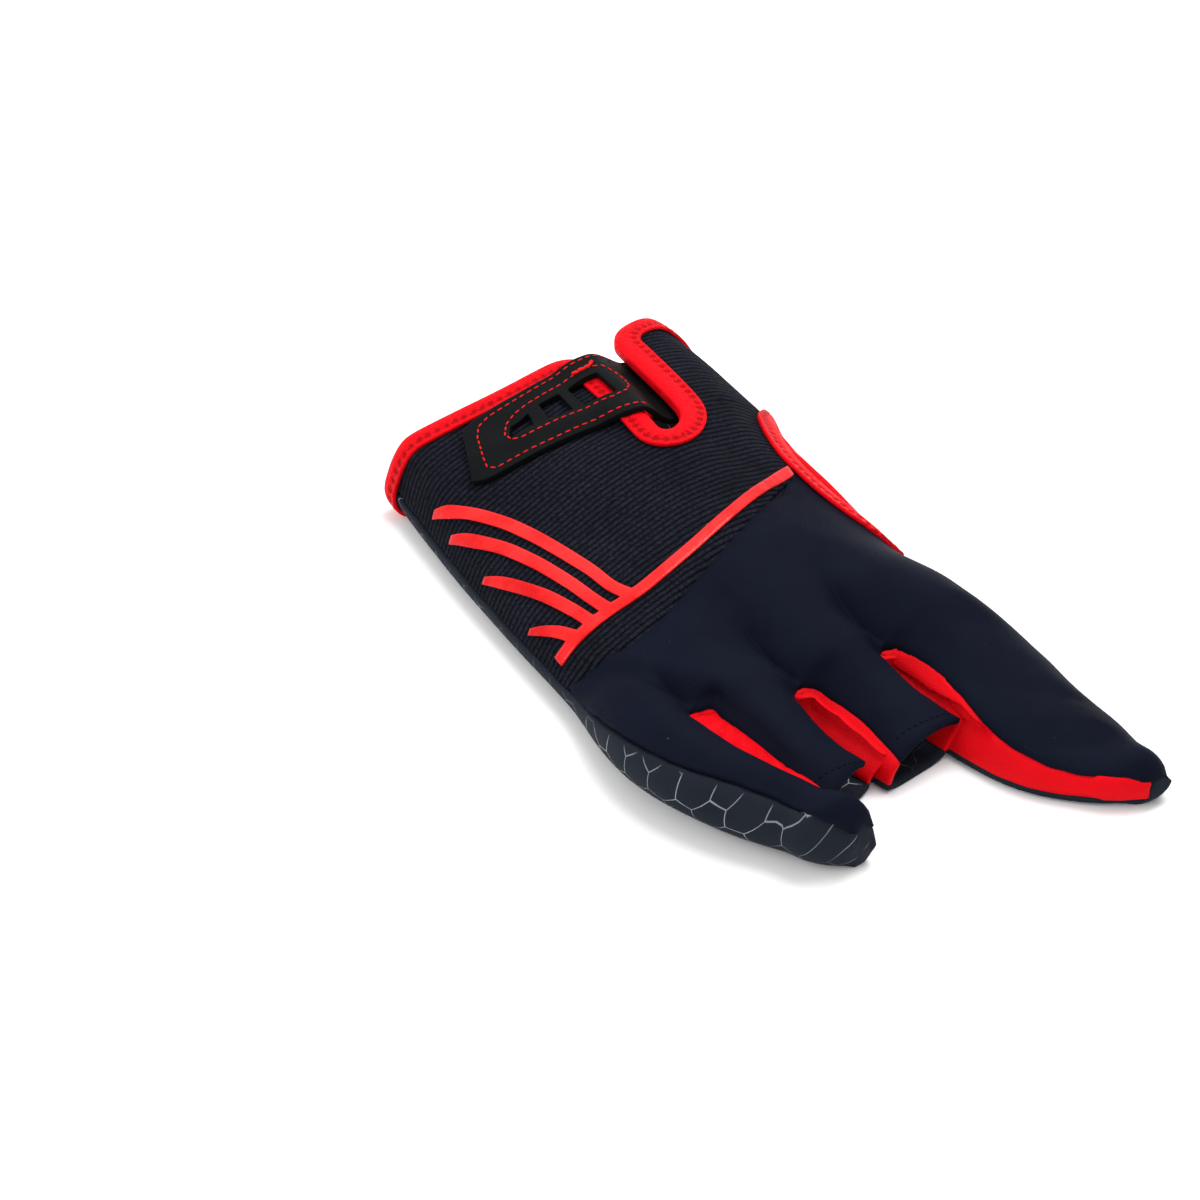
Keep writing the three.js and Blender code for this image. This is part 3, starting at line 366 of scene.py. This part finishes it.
def widen_slots(piece):
    """Rounds the closed end of each slot and opens its edges, for cloth and gussets alike."""
    for slot, (end_near, end_far, edge_near, edge_far) in SLOT_OPENING.items():
        line = SLOTS[slot]
        start, length = line[0][0], line[-1][0] - line[0][0]
        for vertex in piece.data.vertices:
            x, y, z = vertex.co / MM
            middle, half, top = slot_at(line, x)
            away = max(0.0, abs(y - middle) - half) / 4
            if away < 2.5:
                climb = held((z - 2) / (top - 2))
                crotch = math.exp(-((x - start - 2.3) / 2.9) ** 2)
                along = math.sin(math.pi * held((x - start) / length) ** 0.65)
                if y < middle:
                    push = end_near * crotch + edge_near * along
                else:
                    push = end_far * crotch + edge_far * along
                side = math.tanh((y - middle) / 0.7)
                vertex.co.y += side * push * math.exp(-away * away) * climb * MM


def fill_tips(piece):
    """Fills out the blunt ends of the two closed fingers, for every piece that meets there."""
    for vertex in piece.data.vertices:
        for start, end, middle, wide, tall in BLUNT_TIPS:
            share = min(1.0, (vertex.co.x / MM - start) / (end - start))
            if share > 0 and abs(vertex.co.y / MM - middle) < 17:
                more = share * share * (3 - 2 * share)
                vertex.co.y += (vertex.co.y - middle * MM) * wide * more
                vertex.co.z += vertex.co.z * tall * more


fingers = cut_from("finger_back", "finger_back_cloth", 2, CLOTH_SWELL)
for vertex in fingers.data.vertices:
    for tip, inner, outer in CURLED_TIPS:
        past = (vertex.co.x / MM - tip + 6) / 6
        if past > 0 and inner < vertex.co.y / MM < outer:
            vertex.co.z -= 0.5 * past * past * MM
            vertex.co.x += 1.0 * past * MM
sew(fingers, "finger_back", PANELS + GUSSETS)
widen_slots(fingers)
fill_tips(fingers)
drape(fingers)
smooth_cloth, smooth_tree, smooth_shader = finish_named(
    "smooth_stretch_cloth", 0.55, 0.006, 0.4, (0.5, 0.6, 1.0, 1), 0.12, 1.15)
dress(smooth_tree, smooth_shader, (0.0032, 0.0042, 0.0094, 1), (0.0052, 0.0066, 0.0138, 1),
      0.55 * MM, 0.04 * MM)
fingers.data.materials.clear()
fingers.data.materials.append(smooth_cloth)
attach(fingers, "root")
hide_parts("finger_back")

# PALM. Thin microfibre under the whole hand, turned up round the little-finger side. It is
# printed with fine silver-grey honeycomb lines that fade out in places, and is sewn all round.
CELL_ACROSS = 7.4 * MM
MAP_UNIT = 100 * MM
INK_COLOUR = (0.33, 0.35, 0.38, 1)
INK_RELIEF = 0.08 * MM
palm = cut_from("palm_panel", "palm_cloth", 2, 0.2 * MM)
sew(palm, "palm_panel", PANELS + GUSSETS)
fill_tips(palm)
drape(palm)
for corner in palm.data.vertices:
    corner.co.z = max(corner.co.z, 0.0)
# The print stops short of the sewn edges, where the cloth is turned in.
print_share = palm.data.attributes.new("print_share", "FLOAT", "POINT")
for corner, share in zip(palm.data.vertices, print_share.data):
    share.value = held((seams.find(corner.co)[2] / MM - 1.0) / 0.8)
# The print shows more fully higher up the outer side.
print_by_height = palm.data.attributes.new("print_by_height", "FLOAT", "POINT")
for corner, height_share in zip(palm.data.vertices, print_by_height.data):
    height_share.value = held((corner.co.z / MM - 3) / 4)
print_map = palm.data.uv_layers.new(name="print_map")
for loop in palm.data.loops:
    spot = palm.data.vertices[loop.vertex_index].co
    climb = -spot.z if spot.y < 0 else spot.z
    print_map.data[loop.index].uv = (spot.x / MAP_UNIT, (spot.y + climb) / MAP_UNIT)
palm_cloth, palm_tree, palm_shader = finish_named(
    "printed_microfibre", 0.6, 0.012, 0.5, (0.6, 0.7, 0.8, 1), 0.3, 1.15)
place, palm_colour, palm_yarn = dress(
    palm_tree, palm_shader, (0.0078, 0.0104, 0.0160, 1), (0.0120, 0.0156, 0.0226, 1),
    0.5 * MM, 0.04 * MM)
printed = add(palm_tree, "UVMap", {"uv_map": "print_map"}).outputs[0]
# Honeycomb: the way to the nearer of the middles of two offset grids of cells. A cell is 1 across.
ROOT_3 = math.sqrt(3)
cell = placed(palm_tree, "SCALE", printed, Scale=MAP_UNIT / CELL_ACROSS)
cell_far = placed(palm_tree, "ADD", cell, (200.0, 200 * ROOT_3, 0.5))
from_middles = []
for offset in ((0.0, 0.0, 0.0), (0.5, ROOT_3 / 2, 0.0)):
    shifted = placed(palm_tree, "ADD", cell_far, offset)
    in_cell = placed(palm_tree, "MODULO", shifted, (1.0, ROOT_3, 1.0))
    from_middles.append(placed(palm_tree, "SUBTRACT", in_cell, (0.5, ROOT_3 / 2, 0.5)))
first_way, second_way = (placed(palm_tree, "LENGTH", way) for way in from_middles)
nearer = worked(palm_tree, "LESS_THAN", first_way, second_way)
from_middle = add(palm_tree, "Mix", {"data_type": "VECTOR"},
                  i0=nearer, i4=from_middles[1], i5=from_middles[0]).outputs[1]
around = placed(palm_tree, "ABSOLUTE", from_middle)
slant = placed(palm_tree, "DOT_PRODUCT", around, (0.5, ROOT_3 / 2, 0.0))
straight = add(palm_tree, "SeparateXYZ", i0=around).outputs["X"]
cell_line = ranged(palm_tree, worked(palm_tree, "MAXIMUM", slant, straight), 0.481, 0.492)
# The ink is worn off in patches.
patchy = ranged(palm_tree, patches(palm_tree, place, 55.0), 0.5, 0.66, 0.08, 1.0)
inside = add(palm_tree, "Attribute", {"attribute_name": "print_share"}).outputs["Fac"]
height_share = add(palm_tree, "Attribute", {"attribute_name": "print_by_height"}).outputs["Fac"]
kept = worked(palm_tree, "MULTIPLY_ADD", height_share, 0.45, patchy, clamp=True)
ink = worked(palm_tree, "MULTIPLY", worked(palm_tree, "MULTIPLY", cell_line, inside), kept)
inked = mixed(palm_tree, ink, palm_colour, INK_COLOUR)
palm_tree.links.new(inked, palm_shader.inputs["Base Color"])
raised(palm_tree, palm_shader, ink, INK_RELIEF, Normal=palm_yarn)
palm.data.materials.clear()
palm.data.materials.append(palm_cloth)
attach(palm, "root")
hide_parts("palm_panel")

# GUSSETS. Three strips of red stretch cloth between the fingers, each sewn to the finger cloth
# above and the palm below, with a soft crease along its middle where the fingers press it.
gusset_cloth, gusset_tree, gusset_shader = finish_named(
    "red_stretch_cloth", 0.5, 0.005, 0.4, (1.0, 0.2, 0.2, 1), 0.2, 1.2)
dress(gusset_tree, gusset_shader, (0.52, 0.0014, 0.0048, 1), (0.64, 0.0020, 0.0070, 1),
      0.6 * MM, 0.05 * MM, (0.8, 0.02, 0.02, 1))
# The ends at the closed fingertips tuck in toward the tip: where the tuck starts in x, and how
# far it goes sideways and onward, in millimetres.
TUCKS = ((86, 2.3, 2.5), (65, -0.8, 0.9))


def press_open(piece, line):
    """Swells the two walls of a slot towards each other, so that they meet in a crease."""
    for vertex in piece.data.vertices:
        x = vertex.co.x / MM
        middle, half, top = slot_at(line, x)
        climb = held((vertex.co.z / MM - 1.5) / (top - 1.5))
        swell = (4 * climb ** 4 * (1 - climb ** 4)) ** 0.8
        side = max(-1.0, min(1.0, (vertex.co.y / MM - middle) / 0.8))
        crotch = math.exp(-((x - line[0][0]) / 2.6) ** 2)
        lean = 1.65 if side < 0 else 0.1
        vertex.co.y -= side * half * lean * swell * MM
        vertex.co.x += 1.6 * crotch * swell * MM


for slot in ("index_middle", "middle_ring", "ring_little"):
    gusset = cut_from("gusset_" + slot, "gusset_cloth_" + slot, 3, 0.3 * MM)
    for vertex in gusset.data.vertices:
        for start, side, onward in TUCKS:
            past = (vertex.co.x / MM - start) / 5
            if past > 0 and vertex.co.y * side > 0:
                vertex.co.x += onward * past * MM
                vertex.co.y += side * past * past * MM
    press_open(gusset, SLOTS[slot])
    sew(gusset, "gusset_" + slot, PANELS)
    widen_slots(gusset)
    fill_tips(gusset)
    drape(gusset, 0.6)
    gusset.data.materials.clear()
    gusset.data.materials.append(gusset_cloth)
    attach(gusset, "root")
    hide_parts("gusset_" + slot)

# CUFF BINDING. Red tape folded over the raw edge of the cuff and on round the wrist slit, held by
# one line of red thread that dimples it; the thumb hole has the same tape.
TAPE_STITCH = 2.4 * MM
tape_finish, tape_tree, tape_shader = finish_named(
    "red_tape", 0.5, 0.008, 0.4, (1.0, 0.3, 0.3, 1), 0.15, 1.2)
place, tape_colour, tape_yarn = dress(
    tape_tree, tape_shader, (0.56, 0.0016, 0.0055, 1), (0.70, 0.0028, 0.0085, 1),
    0.7 * MM, 0.08 * MM, (0.85, 0.03, 0.03, 1))
# The stitches pull dimples into the tape: deep along the row, one for each stitch hole.
stitch_map = add(tape_tree, "UVMap", {"uv_map": "stitch_map"}).outputs[0]
stitch_axes = add(tape_tree, "SeparateXYZ", i0=stitch_map).outputs
stitch_turn = worked(tape_tree, "MULTIPLY", stitch_axes["X"], 2 * math.pi)
stitch_hole = worked(tape_tree, "COSINE", stitch_turn)
stitch_near = ranged(tape_tree, stitch_axes["Y"], 0.0, 0.85, 1.0, 0.0,
                     interpolation_type="SMOOTHSTEP")
stitch_deep = worked(tape_tree, "MULTIPLY_ADD", stitch_hole, 0.35, 0.65)
stitch_pull = worked(tape_tree, "MULTIPLY", stitch_near, stitch_deep)
stitch_rise = worked(tape_tree, "SUBTRACT", 1.0, stitch_pull)
tape_pull = patches(tape_tree, place, 330.0)
tape_wrinkle = raised(tape_tree, tape_shader, tape_pull, 0.7 * MM, Normal=tape_yarn)
raised(tape_tree, tape_shader, stitch_rise, 0.9 * MM, Normal=tape_wrinkle)
# Painted shade darkens the tape's colour in the stitch dimples.
stitch_painted_shade = ranged(tape_tree, stitch_pull, 0.35, 1.0, 1.0, 0.34)
tape_colour_with_painted_shade = placed(tape_tree, "SCALE", tape_colour, Scale=stitch_painted_shade)
tape_tree.links.new(tape_colour_with_painted_shade, tape_shader.inputs["Base Color"])
# The tape's thread is tone on tone with the tape; its darker red is painted shade for the stitch holes
# that it sinks into.
shaded_tape_thread, shaded_thread_tree, shaded_thread_shader = finish_named(
    "tape_red_thread_painted_shade", 0.5, 0.0, 0.4, (1.0, 0.4, 0.4, 1), 0.15)
dress(shaded_thread_tree, shaded_thread_shader, (0.30, 0.0016, 0.0030, 1), (0.42, 0.0030, 0.0050, 1),
      0.3 * MM, 0.04 * MM, (0.5, 0.01, 0.01, 1))


def lay_threads(name, stitches, radius, flat, finish, node):
    """One piece holding a row of short threads; each is (middle, direction, up, length)."""
    work = bmesh.new()
    for middle, along, up, length in stitches:
        across = up.cross(along).normalized()
        up = along.cross(across).normalized()
        turn = Matrix((along, across, up)).transposed().to_4x4()
        size = Matrix.Diagonal((length / 2, radius, radius * flat, 1))
        spot = Matrix.Translation(middle) @ turn @ size @ Matrix.Rotation(math.pi / 2, 4, "Y")
        bmesh.ops.create_uvsphere(work, u_segments=7, v_segments=4, radius=1, matrix=spot)
    mesh = bpy.data.meshes.new(name)
    work.to_mesh(mesh)
    work.free()
    mesh.shade_smooth()
    mesh.materials.append(finish)
    threads = bpy.data.objects.new(name, mesh)
    bpy.context.collection.objects.link(threads)
    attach(threads, "root")
    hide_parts(node)


def spaced(points, pitch, closed=False):
    """Even places along a line of points, each with the direction of the line there."""
    points = [Vector(p) for p in points]
    if closed:
        points.append(points[0])
    lengths = [(b - a).length for a, b in zip(points, points[1:])]
    count = max(2, round(sum(lengths) / pitch))
    step = sum(lengths) / count
    places, i, passed = [], 0, 0.0
    for k in range(count):
        target = (k + 0.5) * step
        while i < len(lengths) - 1 and passed + lengths[i] < target:
            passed += lengths[i]
            i += 1
        share = (target - passed) / max(lengths[i], 1e-9)
        places.append((points[i].lerp(points[i + 1], share), (points[i + 1] - points[i]).normalized()))
    return places


# Places along the stitching on the outer face of each tape, in millimetres.
CUFF_ROW = [
    (-41.1, 13.7, 29.6), (-41.2, 10.9, 29.8), (-42.2, 8.5, 29.9), (-43.9, 6.8, 30), (-46.4, 6, 30.1),
    (-49.2, 6.2, 30.2), (-55.6, 7.6, 30.3), (-61.8, 8.5, 30.1), (-67.9, 9.3, 30), (-74.1, 10.1, 29.7),
    (-79.2, 10.8, 29.4), (-80.3, 10.8, 29.3), (-81.3, 10.5, 29.2), (-82.2, 9.8, 29.1),
    (-82.7, 8.9, 28.9), (-83, 7.8, 28.7), (-83.3, 2.6, 27.9), (-83.7, -3.5, 26.6), (-84.6, -9.5, 25.3),
    (-85.8, -15.5, 23.7), (-87, -20.5, 22.2), (-87.9, -24.6, 21), (-88.8, -28.2, 19.8),
    (-89.4, -30.9, 18.4), (-90, -33.7, 13.8), (-90.2, -35, 9.9), (-90.4, -35.9, 7.3), (-90, -36.1, 4.7),
    (-89.4, -35.1, 2.3), (-88.8, -32.9, 0.8), (-88.2, -30, 0.2), (-87.4, -26.1, 0.2),
    (-86.2, -20.4, 0.2), (-84.3, -10.9, 0.2), (-83.3, -1.1, 0.2), (-82.8, 8.7, 0.2), (-82.8, 18.6, 0.2),
    (-83.5, 28.5, 0.2), (-85.5, 38.5, 0.2), (-86.8, 44.4, 0.2), (-87, 48.3, 0.2), (-86.9, 51.7, 0.6),
    (-86.9, 54.3, 1.8), (-86.8, 55.5, 4.5), (-86.8, 55, 6.4), (-86.8, 54.3, 8.5), (-86.8, 53.3, 11.6),
    (-86.9, 51.6, 15.8), (-86.9, 49, 20), (-86.9, 46.4, 23.3), (-86.9, 43.9, 25.7), (-86.5, 41, 28),
    (-85.9, 37.8, 29), (-85.3, 35.5, 29.4), (-84.8, 33.6, 29.7), (-84.1, 32.4, 29.8),
    (-83.2, 31.2, 29.9), (-82.3, 30.2, 30), (-81.2, 29.5, 30.1), (-80.2, 29.1, 30.1),
    (-75.2, 28.5, 30.1), (-69.3, 27.7, 30), (-63.4, 26.9, 29.8), (-57.5, 26.1, 29.5), (-51.3, 25, 29.2),
    (-48.5, 23.8, 29.1), (-45.9, 22, 29.1), (-43.6, 19.5, 29.2), (-42, 16.6, 29.4),
]
THUMB_ROW = [
    (-53.4, 55.1, 3.5), (-51.9, 54.5, 3), (-50.2, 53.4, 2.6), (-46.5, 51.1, 2), (-42.9, 49.7, 2.2),
    (-39.5, 49, 2.3), (-36.1, 48.4, 2.5), (-32.7, 47.8, 2.5), (-29.3, 47.1, 2.5), (-25.2, 46.3, 2.5),
    (-17.1, 44.7, 2.3), (-9.4, 43.7, 2), (-3.4, 45, 3.2), (0.7, 45.1, 6.5), (-2.3, 39.6, 13.6),
    (-8.1, 35.6, 17.8), (-16.5, 33.6, 20.3), (-25.6, 33.9, 21.7), (-29.8, 34.6, 22), (-33.9, 35.8, 21.9),
    (-37.3, 37.3, 21.6), (-40.8, 38.8, 21.2), (-44.3, 40.5, 20.9), (-48.2, 43, 20.1), (-51.8, 47, 17.7),
    (-53.4, 49, 16), (-54.6, 50.7, 14), (-56, 55.3, 5.7),
]


def surface_of(piece):
    """A lookup of places on a piece's surface."""
    mesh = piece.data
    return BVHTree.FromPolygons([v.co for v in mesh.vertices], [p.vertices for p in mesh.polygons])


ROW_STEP = 0.5 * MM


def bind(node, name, row):
    """The folded tape with its stitching: dimples read from a map along the row, and threads."""
    tape = cut_from(node, name, 2, 0.1 * MM)
    surface = surface_of(tape)
    row = [Vector(place) * MM for place in row]
    whole = spaced(row, ROW_STEP, closed=True)
    lookup = KDTree(len(whole))
    for i, (place, _) in enumerate(whole):
        lookup.insert(place, i)
    lookup.balance()
    chart = tape.data.uv_layers.new(name="stitch_map")
    for face in tape.data.polygons:
        found = [lookup.find(tape.data.vertices[v].co) for v in face.vertices]
        first = found[0][1]
        for corner, (_, i, away) in zip(face.loop_indices, found):
            if abs(i - first) > len(whole) / 2:
                i += len(whole) if i < first else -len(whole)
            chart.data[corner].uv = (i * ROW_STEP / TAPE_STITCH, away / (2 * MM))
    outer, inner = [], []
    for place, along in spaced(row, TAPE_STITCH, closed=True):
        top, normal, _, _ = surface.find_nearest(place)
        outer.append((top - normal * 0.05 * MM, along, normal, TAPE_STITCH * 0.66))
        below, under, _, _ = surface.find_nearest(top - normal * 3.6 * MM)
        if (below - top).length > 2 * MM:
            inner.append((below - under * 0.05 * MM, along, under, TAPE_STITCH * 0.66))
    tape.data.materials.clear()
    tape.data.materials.append(tape_finish)
    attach(tape, "root")
    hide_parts(node)
    lay_threads(name + "_stitches", outer + inner, 0.24 * MM, 0.7, shaded_tape_thread, node)


bind("cuff_binding", "cuff_tape", CUFF_ROW)
bind("thumb_binding", "thumb_hole_tape", THUMB_ROW)

# WRIST STRAP. A black strap of matt synthetic leather with hook tape under it, which closes the
# slit. A long window cut through it has two slanted bars left across; red stitching runs round
# the edge and round the window, and its thread ends in a small knot.
# The window's middle line crosses x = -67.6 mm at y = 11 mm, and slants by 0.15.
WINDOW_MIDDLE, WINDOW_Y, WINDOW_SLANT = -67.6, 11, 0.15
strap = cut_from("wrist_strap", "wrist_strap_leather", 3, 0)
for vertex in strap.data.vertices:
    # The long edges of the window stretch apart, and its far end narrows.
    y = vertex.co.y / MM
    across = vertex.co.x / MM - WINDOW_MIDDLE - WINDOW_SLANT * (y - WINDOW_Y)
    spread = math.tanh(across) * math.exp(-((abs(across) - 3.7) / 2.2) ** 2)
    spread *= min(1.1, max(0.0, (y + 10) / 18))
    narrow = held((-5 - y) / 7) * held((y + 18) / 5) * math.exp(-(across / 6) ** 4)
    vertex.co.x += (spread - 0.5 * across * narrow) * MM
    vertex.co.y += 1.2 * narrow * MM
drape(strap)
strap_surface = surface_of(strap)
strap_finish, strap_tree, strap_shader = finish_named(
    "strap_leather", 0.5, 0.0, 0.5, (0.7, 0.75, 0.8, 1), 0.16, 1.2)
place, _, strap_grain = dress(
    strap_tree, strap_shader, (0.0030, 0.0034, 0.0038, 1), (0.0046, 0.0050, 0.0056, 1),
    0.5 * MM, 0.03 * MM)
strap_pores = add(strap_tree, "TexVoronoi", i0=place, Scale=1500.0).outputs["Distance"]
raised(strap_tree, strap_shader, strap_pores, 0.05 * MM, Normal=strap_grain)
strap.data.materials.clear()
strap.data.materials.append(strap_finish)
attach(strap, "root")
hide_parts("wrist_strap")

# Stitching lines in plan, in millimetres: up the cuff side, round the free end and back, and a
# long loop round the window.
EDGE_LINE = [
    (-79.0, 21.5), (-79.7, 10), (-80, 0), (-80.2, -8), (-80.4, -14.2), (-79.4, -17.6),
    (-76.5, -19.9), (-70, -23), (-66.6, -24.2), (-64.6, -23), (-64, -20), (-63, -14.5),
    (-61.6, -9.5), (-59.6, -2.5), (-57.6, 3.5), (-56, 9.2), (-54.9, 13.4),
]
WINDOW_LINE = [
    (-75.4, 12.2), (-76, 6), (-76.4, 0), (-76.5, -6), (-76.1, -9.6), (-74.7, -13), (-71.8, -15.4),
    (-69, -15.4), (-67.6, -13.4), (-66.8, -10), (-65.2, -4), (-63.2, 2.6), (-61.4, 8.4),
    (-61.6, 12), (-63.6, 14.6), (-67, 15.8), (-71, 15.6), (-74.2, 14.6),
]
# The run of thick turns that ends the window's thread.
KNOT_LINE = [(-76.0, 7.4), (-75.9, 9.0), (-75.7, 10.6), (-75.8, 12.1), (-76.5, 13.2)]
RED_THREAD_RADIUS = 0.22 * MM
thread_red, thread_tree, thread_shader = finish_named(
    "red_thread", 0.45, 0.01, 0.4, (1.0, 0.4, 0.4, 1), 0.25)
dress(thread_tree, thread_shader, (0.54, 0.006, 0.006, 1), (0.70, 0.014, 0.012, 1),
      0.3 * MM, 0.04 * MM, (0.9, 0.05, 0.05, 1))


def stitch_on(surface, line, pitch, share, closed):
    """Places, directions and lengths of threads laid along a plan line on the top of a piece."""
    stitches = []
    for place, along in spaced([Vector((x, y, 0)) * MM for x, y in line], pitch, closed):
        top, normal, _, _ = surface.ray_cast(place + Vector((0, 0, 0.08)), Vector((0, 0, -1)))
        if top is not None and normal.z > 0.3:
            along = (along - normal * along.dot(normal)).normalized()
            stitches.append((top + normal * 0.03 * MM, along, normal, pitch * share))
    return stitches


strap_threads = stitch_on(strap_surface, EDGE_LINE, 2.1 * MM, 0.72, False)
strap_threads += stitch_on(strap_surface, WINDOW_LINE, 2.0 * MM, 0.74, True)
lay_threads("strap_stitches", strap_threads, RED_THREAD_RADIUS, 0.8, thread_red,
            "wrist_strap")

# The knot where the window's thread ends: a thick run of turns with a bead at its end.
knot = []
for start, end in zip(KNOT_LINE, KNOT_LINE[1:]):
    spot = Vector(((start[0] + end[0]) / 2, (start[1] + end[1]) / 2, 80)) * MM
    top, normal, _, _ = strap_surface.ray_cast(spot, Vector((0, 0, -1)))
    along = Vector((end[0] - start[0], end[1] - start[1], 0)) * MM
    knot.append((top + normal * 0.2 * MM, along.normalized(), normal, along.length * 1.5))
knot.append((top + normal * 0.3 * MM + along * 0.4, along.normalized(), normal, 1.7 * MM))
lay_threads("strap_knot", knot, 0.5 * MM, 1.0, thread_red, "wrist_strap")

# STRIPE PRINT. A raised glossy film pressed onto the knit: one line across the hand with four
# stripes curving back from it to the little-finger side.
stripes = cut_from("stripe_print", "stripe_film", 2, 0)
for vertex in stripes.data.vertices:
    # The line across the hand runs up to the thumb hole's tape.
    past = max(0.0, vertex.co.y / MM - 24) / 8
    vertex.co += Vector((-0.5, 1.4, -0.55)) * past * MM
drape(stripes)
film_finish, film_tree, film_shader = finish_named(
    "stripe_film", 0.35, 0.0, 0.5, (1, 1, 1, 1), 0.15, 1.3)
film_shader.inputs["Coat Weight"].default_value = 0.22
film_shader.inputs["Coat Roughness"].default_value = 0.08
place = add(film_tree, "TexCoord").outputs["Object"]
# The film's deep red is mixed in random patches with a lighter, pinker red, which is a painted gloss.
film_painted_gloss_patch = ranged(film_tree, patches(film_tree, place, 70.0, 3.0), 0.4, 0.62)
film_red_with_painted_gloss = mixed(film_tree, film_painted_gloss_patch, (0.50, 0.001, 0.002, 1), (0.72, 0.018, 0.018, 1))
film_tree.links.new(film_red_with_painted_gloss, film_shader.inputs["Base Color"])
raised(film_tree, film_shader, patches(film_tree, place, 420.0), 0.5 * MM)
stripes.data.materials.clear()
stripes.data.materials.append(film_finish)
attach(stripes, "root")
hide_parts("stripe_print")

# HEM STITCHES. One row of black thread across each open finger, holding the cloth's turned-in end;
# it shows only as a faint line, tone on tone.
HEM_STITCH = 1.5 * MM
MIDDLE_HEM = [(54.4, -5.4), (55.0, 3.0), (54.8, 10.2)]
RING_HEM = [(54.6, -28.4), (55.2, -21.0), (55.0, -14.4)]
hem_surface = surface_of(fingers)
hem_thread, hem_tree, hem_shader = finish_named("black_thread", 0.6, 0.0, 0.5, (1, 1, 1, 1), 0.1)
dress(hem_tree, hem_shader, (0.0022, 0.0024, 0.0034, 1), (0.0034, 0.0038, 0.0052, 1),
      0.3 * MM, 0.04 * MM)
hem = stitch_on(hem_surface, MIDDLE_HEM, HEM_STITCH, 0.7, False)
hem += stitch_on(hem_surface, RING_HEM, HEM_STITCH, 0.7, False)
lay_threads("finger_hem_stitches", hem, 0.16 * MM, 0.7, hem_thread, "finger_back")

# FLOOR AND LIGHT. A plain white table, a large soft light over it, a softer one from the front
# left, and the camera above the little-finger side, as in the photograph.
table = bpy.data.meshes.new("table_top")
work = bmesh.new()
bmesh.ops.create_grid(work, x_segments=1, y_segments=1, size=6)
work.to_mesh(table)
work.free()
floor = bpy.data.objects.new("table_top", table)
bpy.context.collection.objects.link(floor)
table_finish, table_tree, table_shader = finish_named("white_table", 0.9, 0, 0.5, (1, 1, 1, 1), 0.2)
on_table = add(table_tree, "TexCoord").outputs["Object"]
grain = patches(table_tree, on_table, 30.0)
white = mixed(table_tree, grain, (0.86, 0.86, 0.865, 1), (0.9, 0.9, 0.9, 1))
table_tree.links.new(white, table_shader.inputs["Base Color"])
table.materials.append(table_finish)

world = bpy.data.worlds.new("studio")
bpy.context.scene.world = world
bpy.context.scene.view_settings.view_transform = "Standard"
world.use_nodes = True
world.node_tree.nodes["Background"].inputs["Color"].default_value = (1, 1, 1, 1)
world.node_tree.nodes["Background"].inputs["Strength"].default_value = 0.9


def soft_light(name, place, aim, size, power):
    """A square area light at place, turned to aim."""
    data = bpy.data.lights.new(name, "AREA")
    data.shape = "SQUARE"
    data.size = size
    data.energy = power
    light = bpy.data.objects.new(name, data)
    bpy.context.collection.objects.link(light)
    light.location = place
    light.rotation_euler = (Vector(aim) - Vector(place)).to_track_quat("-Z", "Y").to_euler()


soft_light("over_table", (-0.1, 0.35, 0.9), (0, 0, 0), 0.7, 9)
soft_light("front_left", (-0.2, -0.9, 0.6), (0, 0, 0), 0.6, 5)

# The camera looks at the middle of the glove from 0.7 m away.
CAMERA_AIM = Vector((-0.0232, -0.0244, 0.010))
CAMERA_TURN, CAMERA_LIFT, CAMERA_AWAY = math.radians(53), math.radians(36), 0.7
lens = bpy.data.cameras.new("camera")
lens.lens = 94
lens.sensor_width = 36
lens.clip_start = 0.01
camera = bpy.data.objects.new("camera", lens)
bpy.context.collection.objects.link(camera)
away = Vector((
    math.sin(CAMERA_TURN) * math.cos(CAMERA_LIFT),
    -math.cos(CAMERA_TURN) * math.cos(CAMERA_LIFT),
    math.sin(CAMERA_LIFT)))
camera.location = CAMERA_AIM + away * CAMERA_AWAY
camera.rotation_euler = (-away).to_track_quat("-Z", "Y").to_euler()
bpy.context.scene.camera = camera
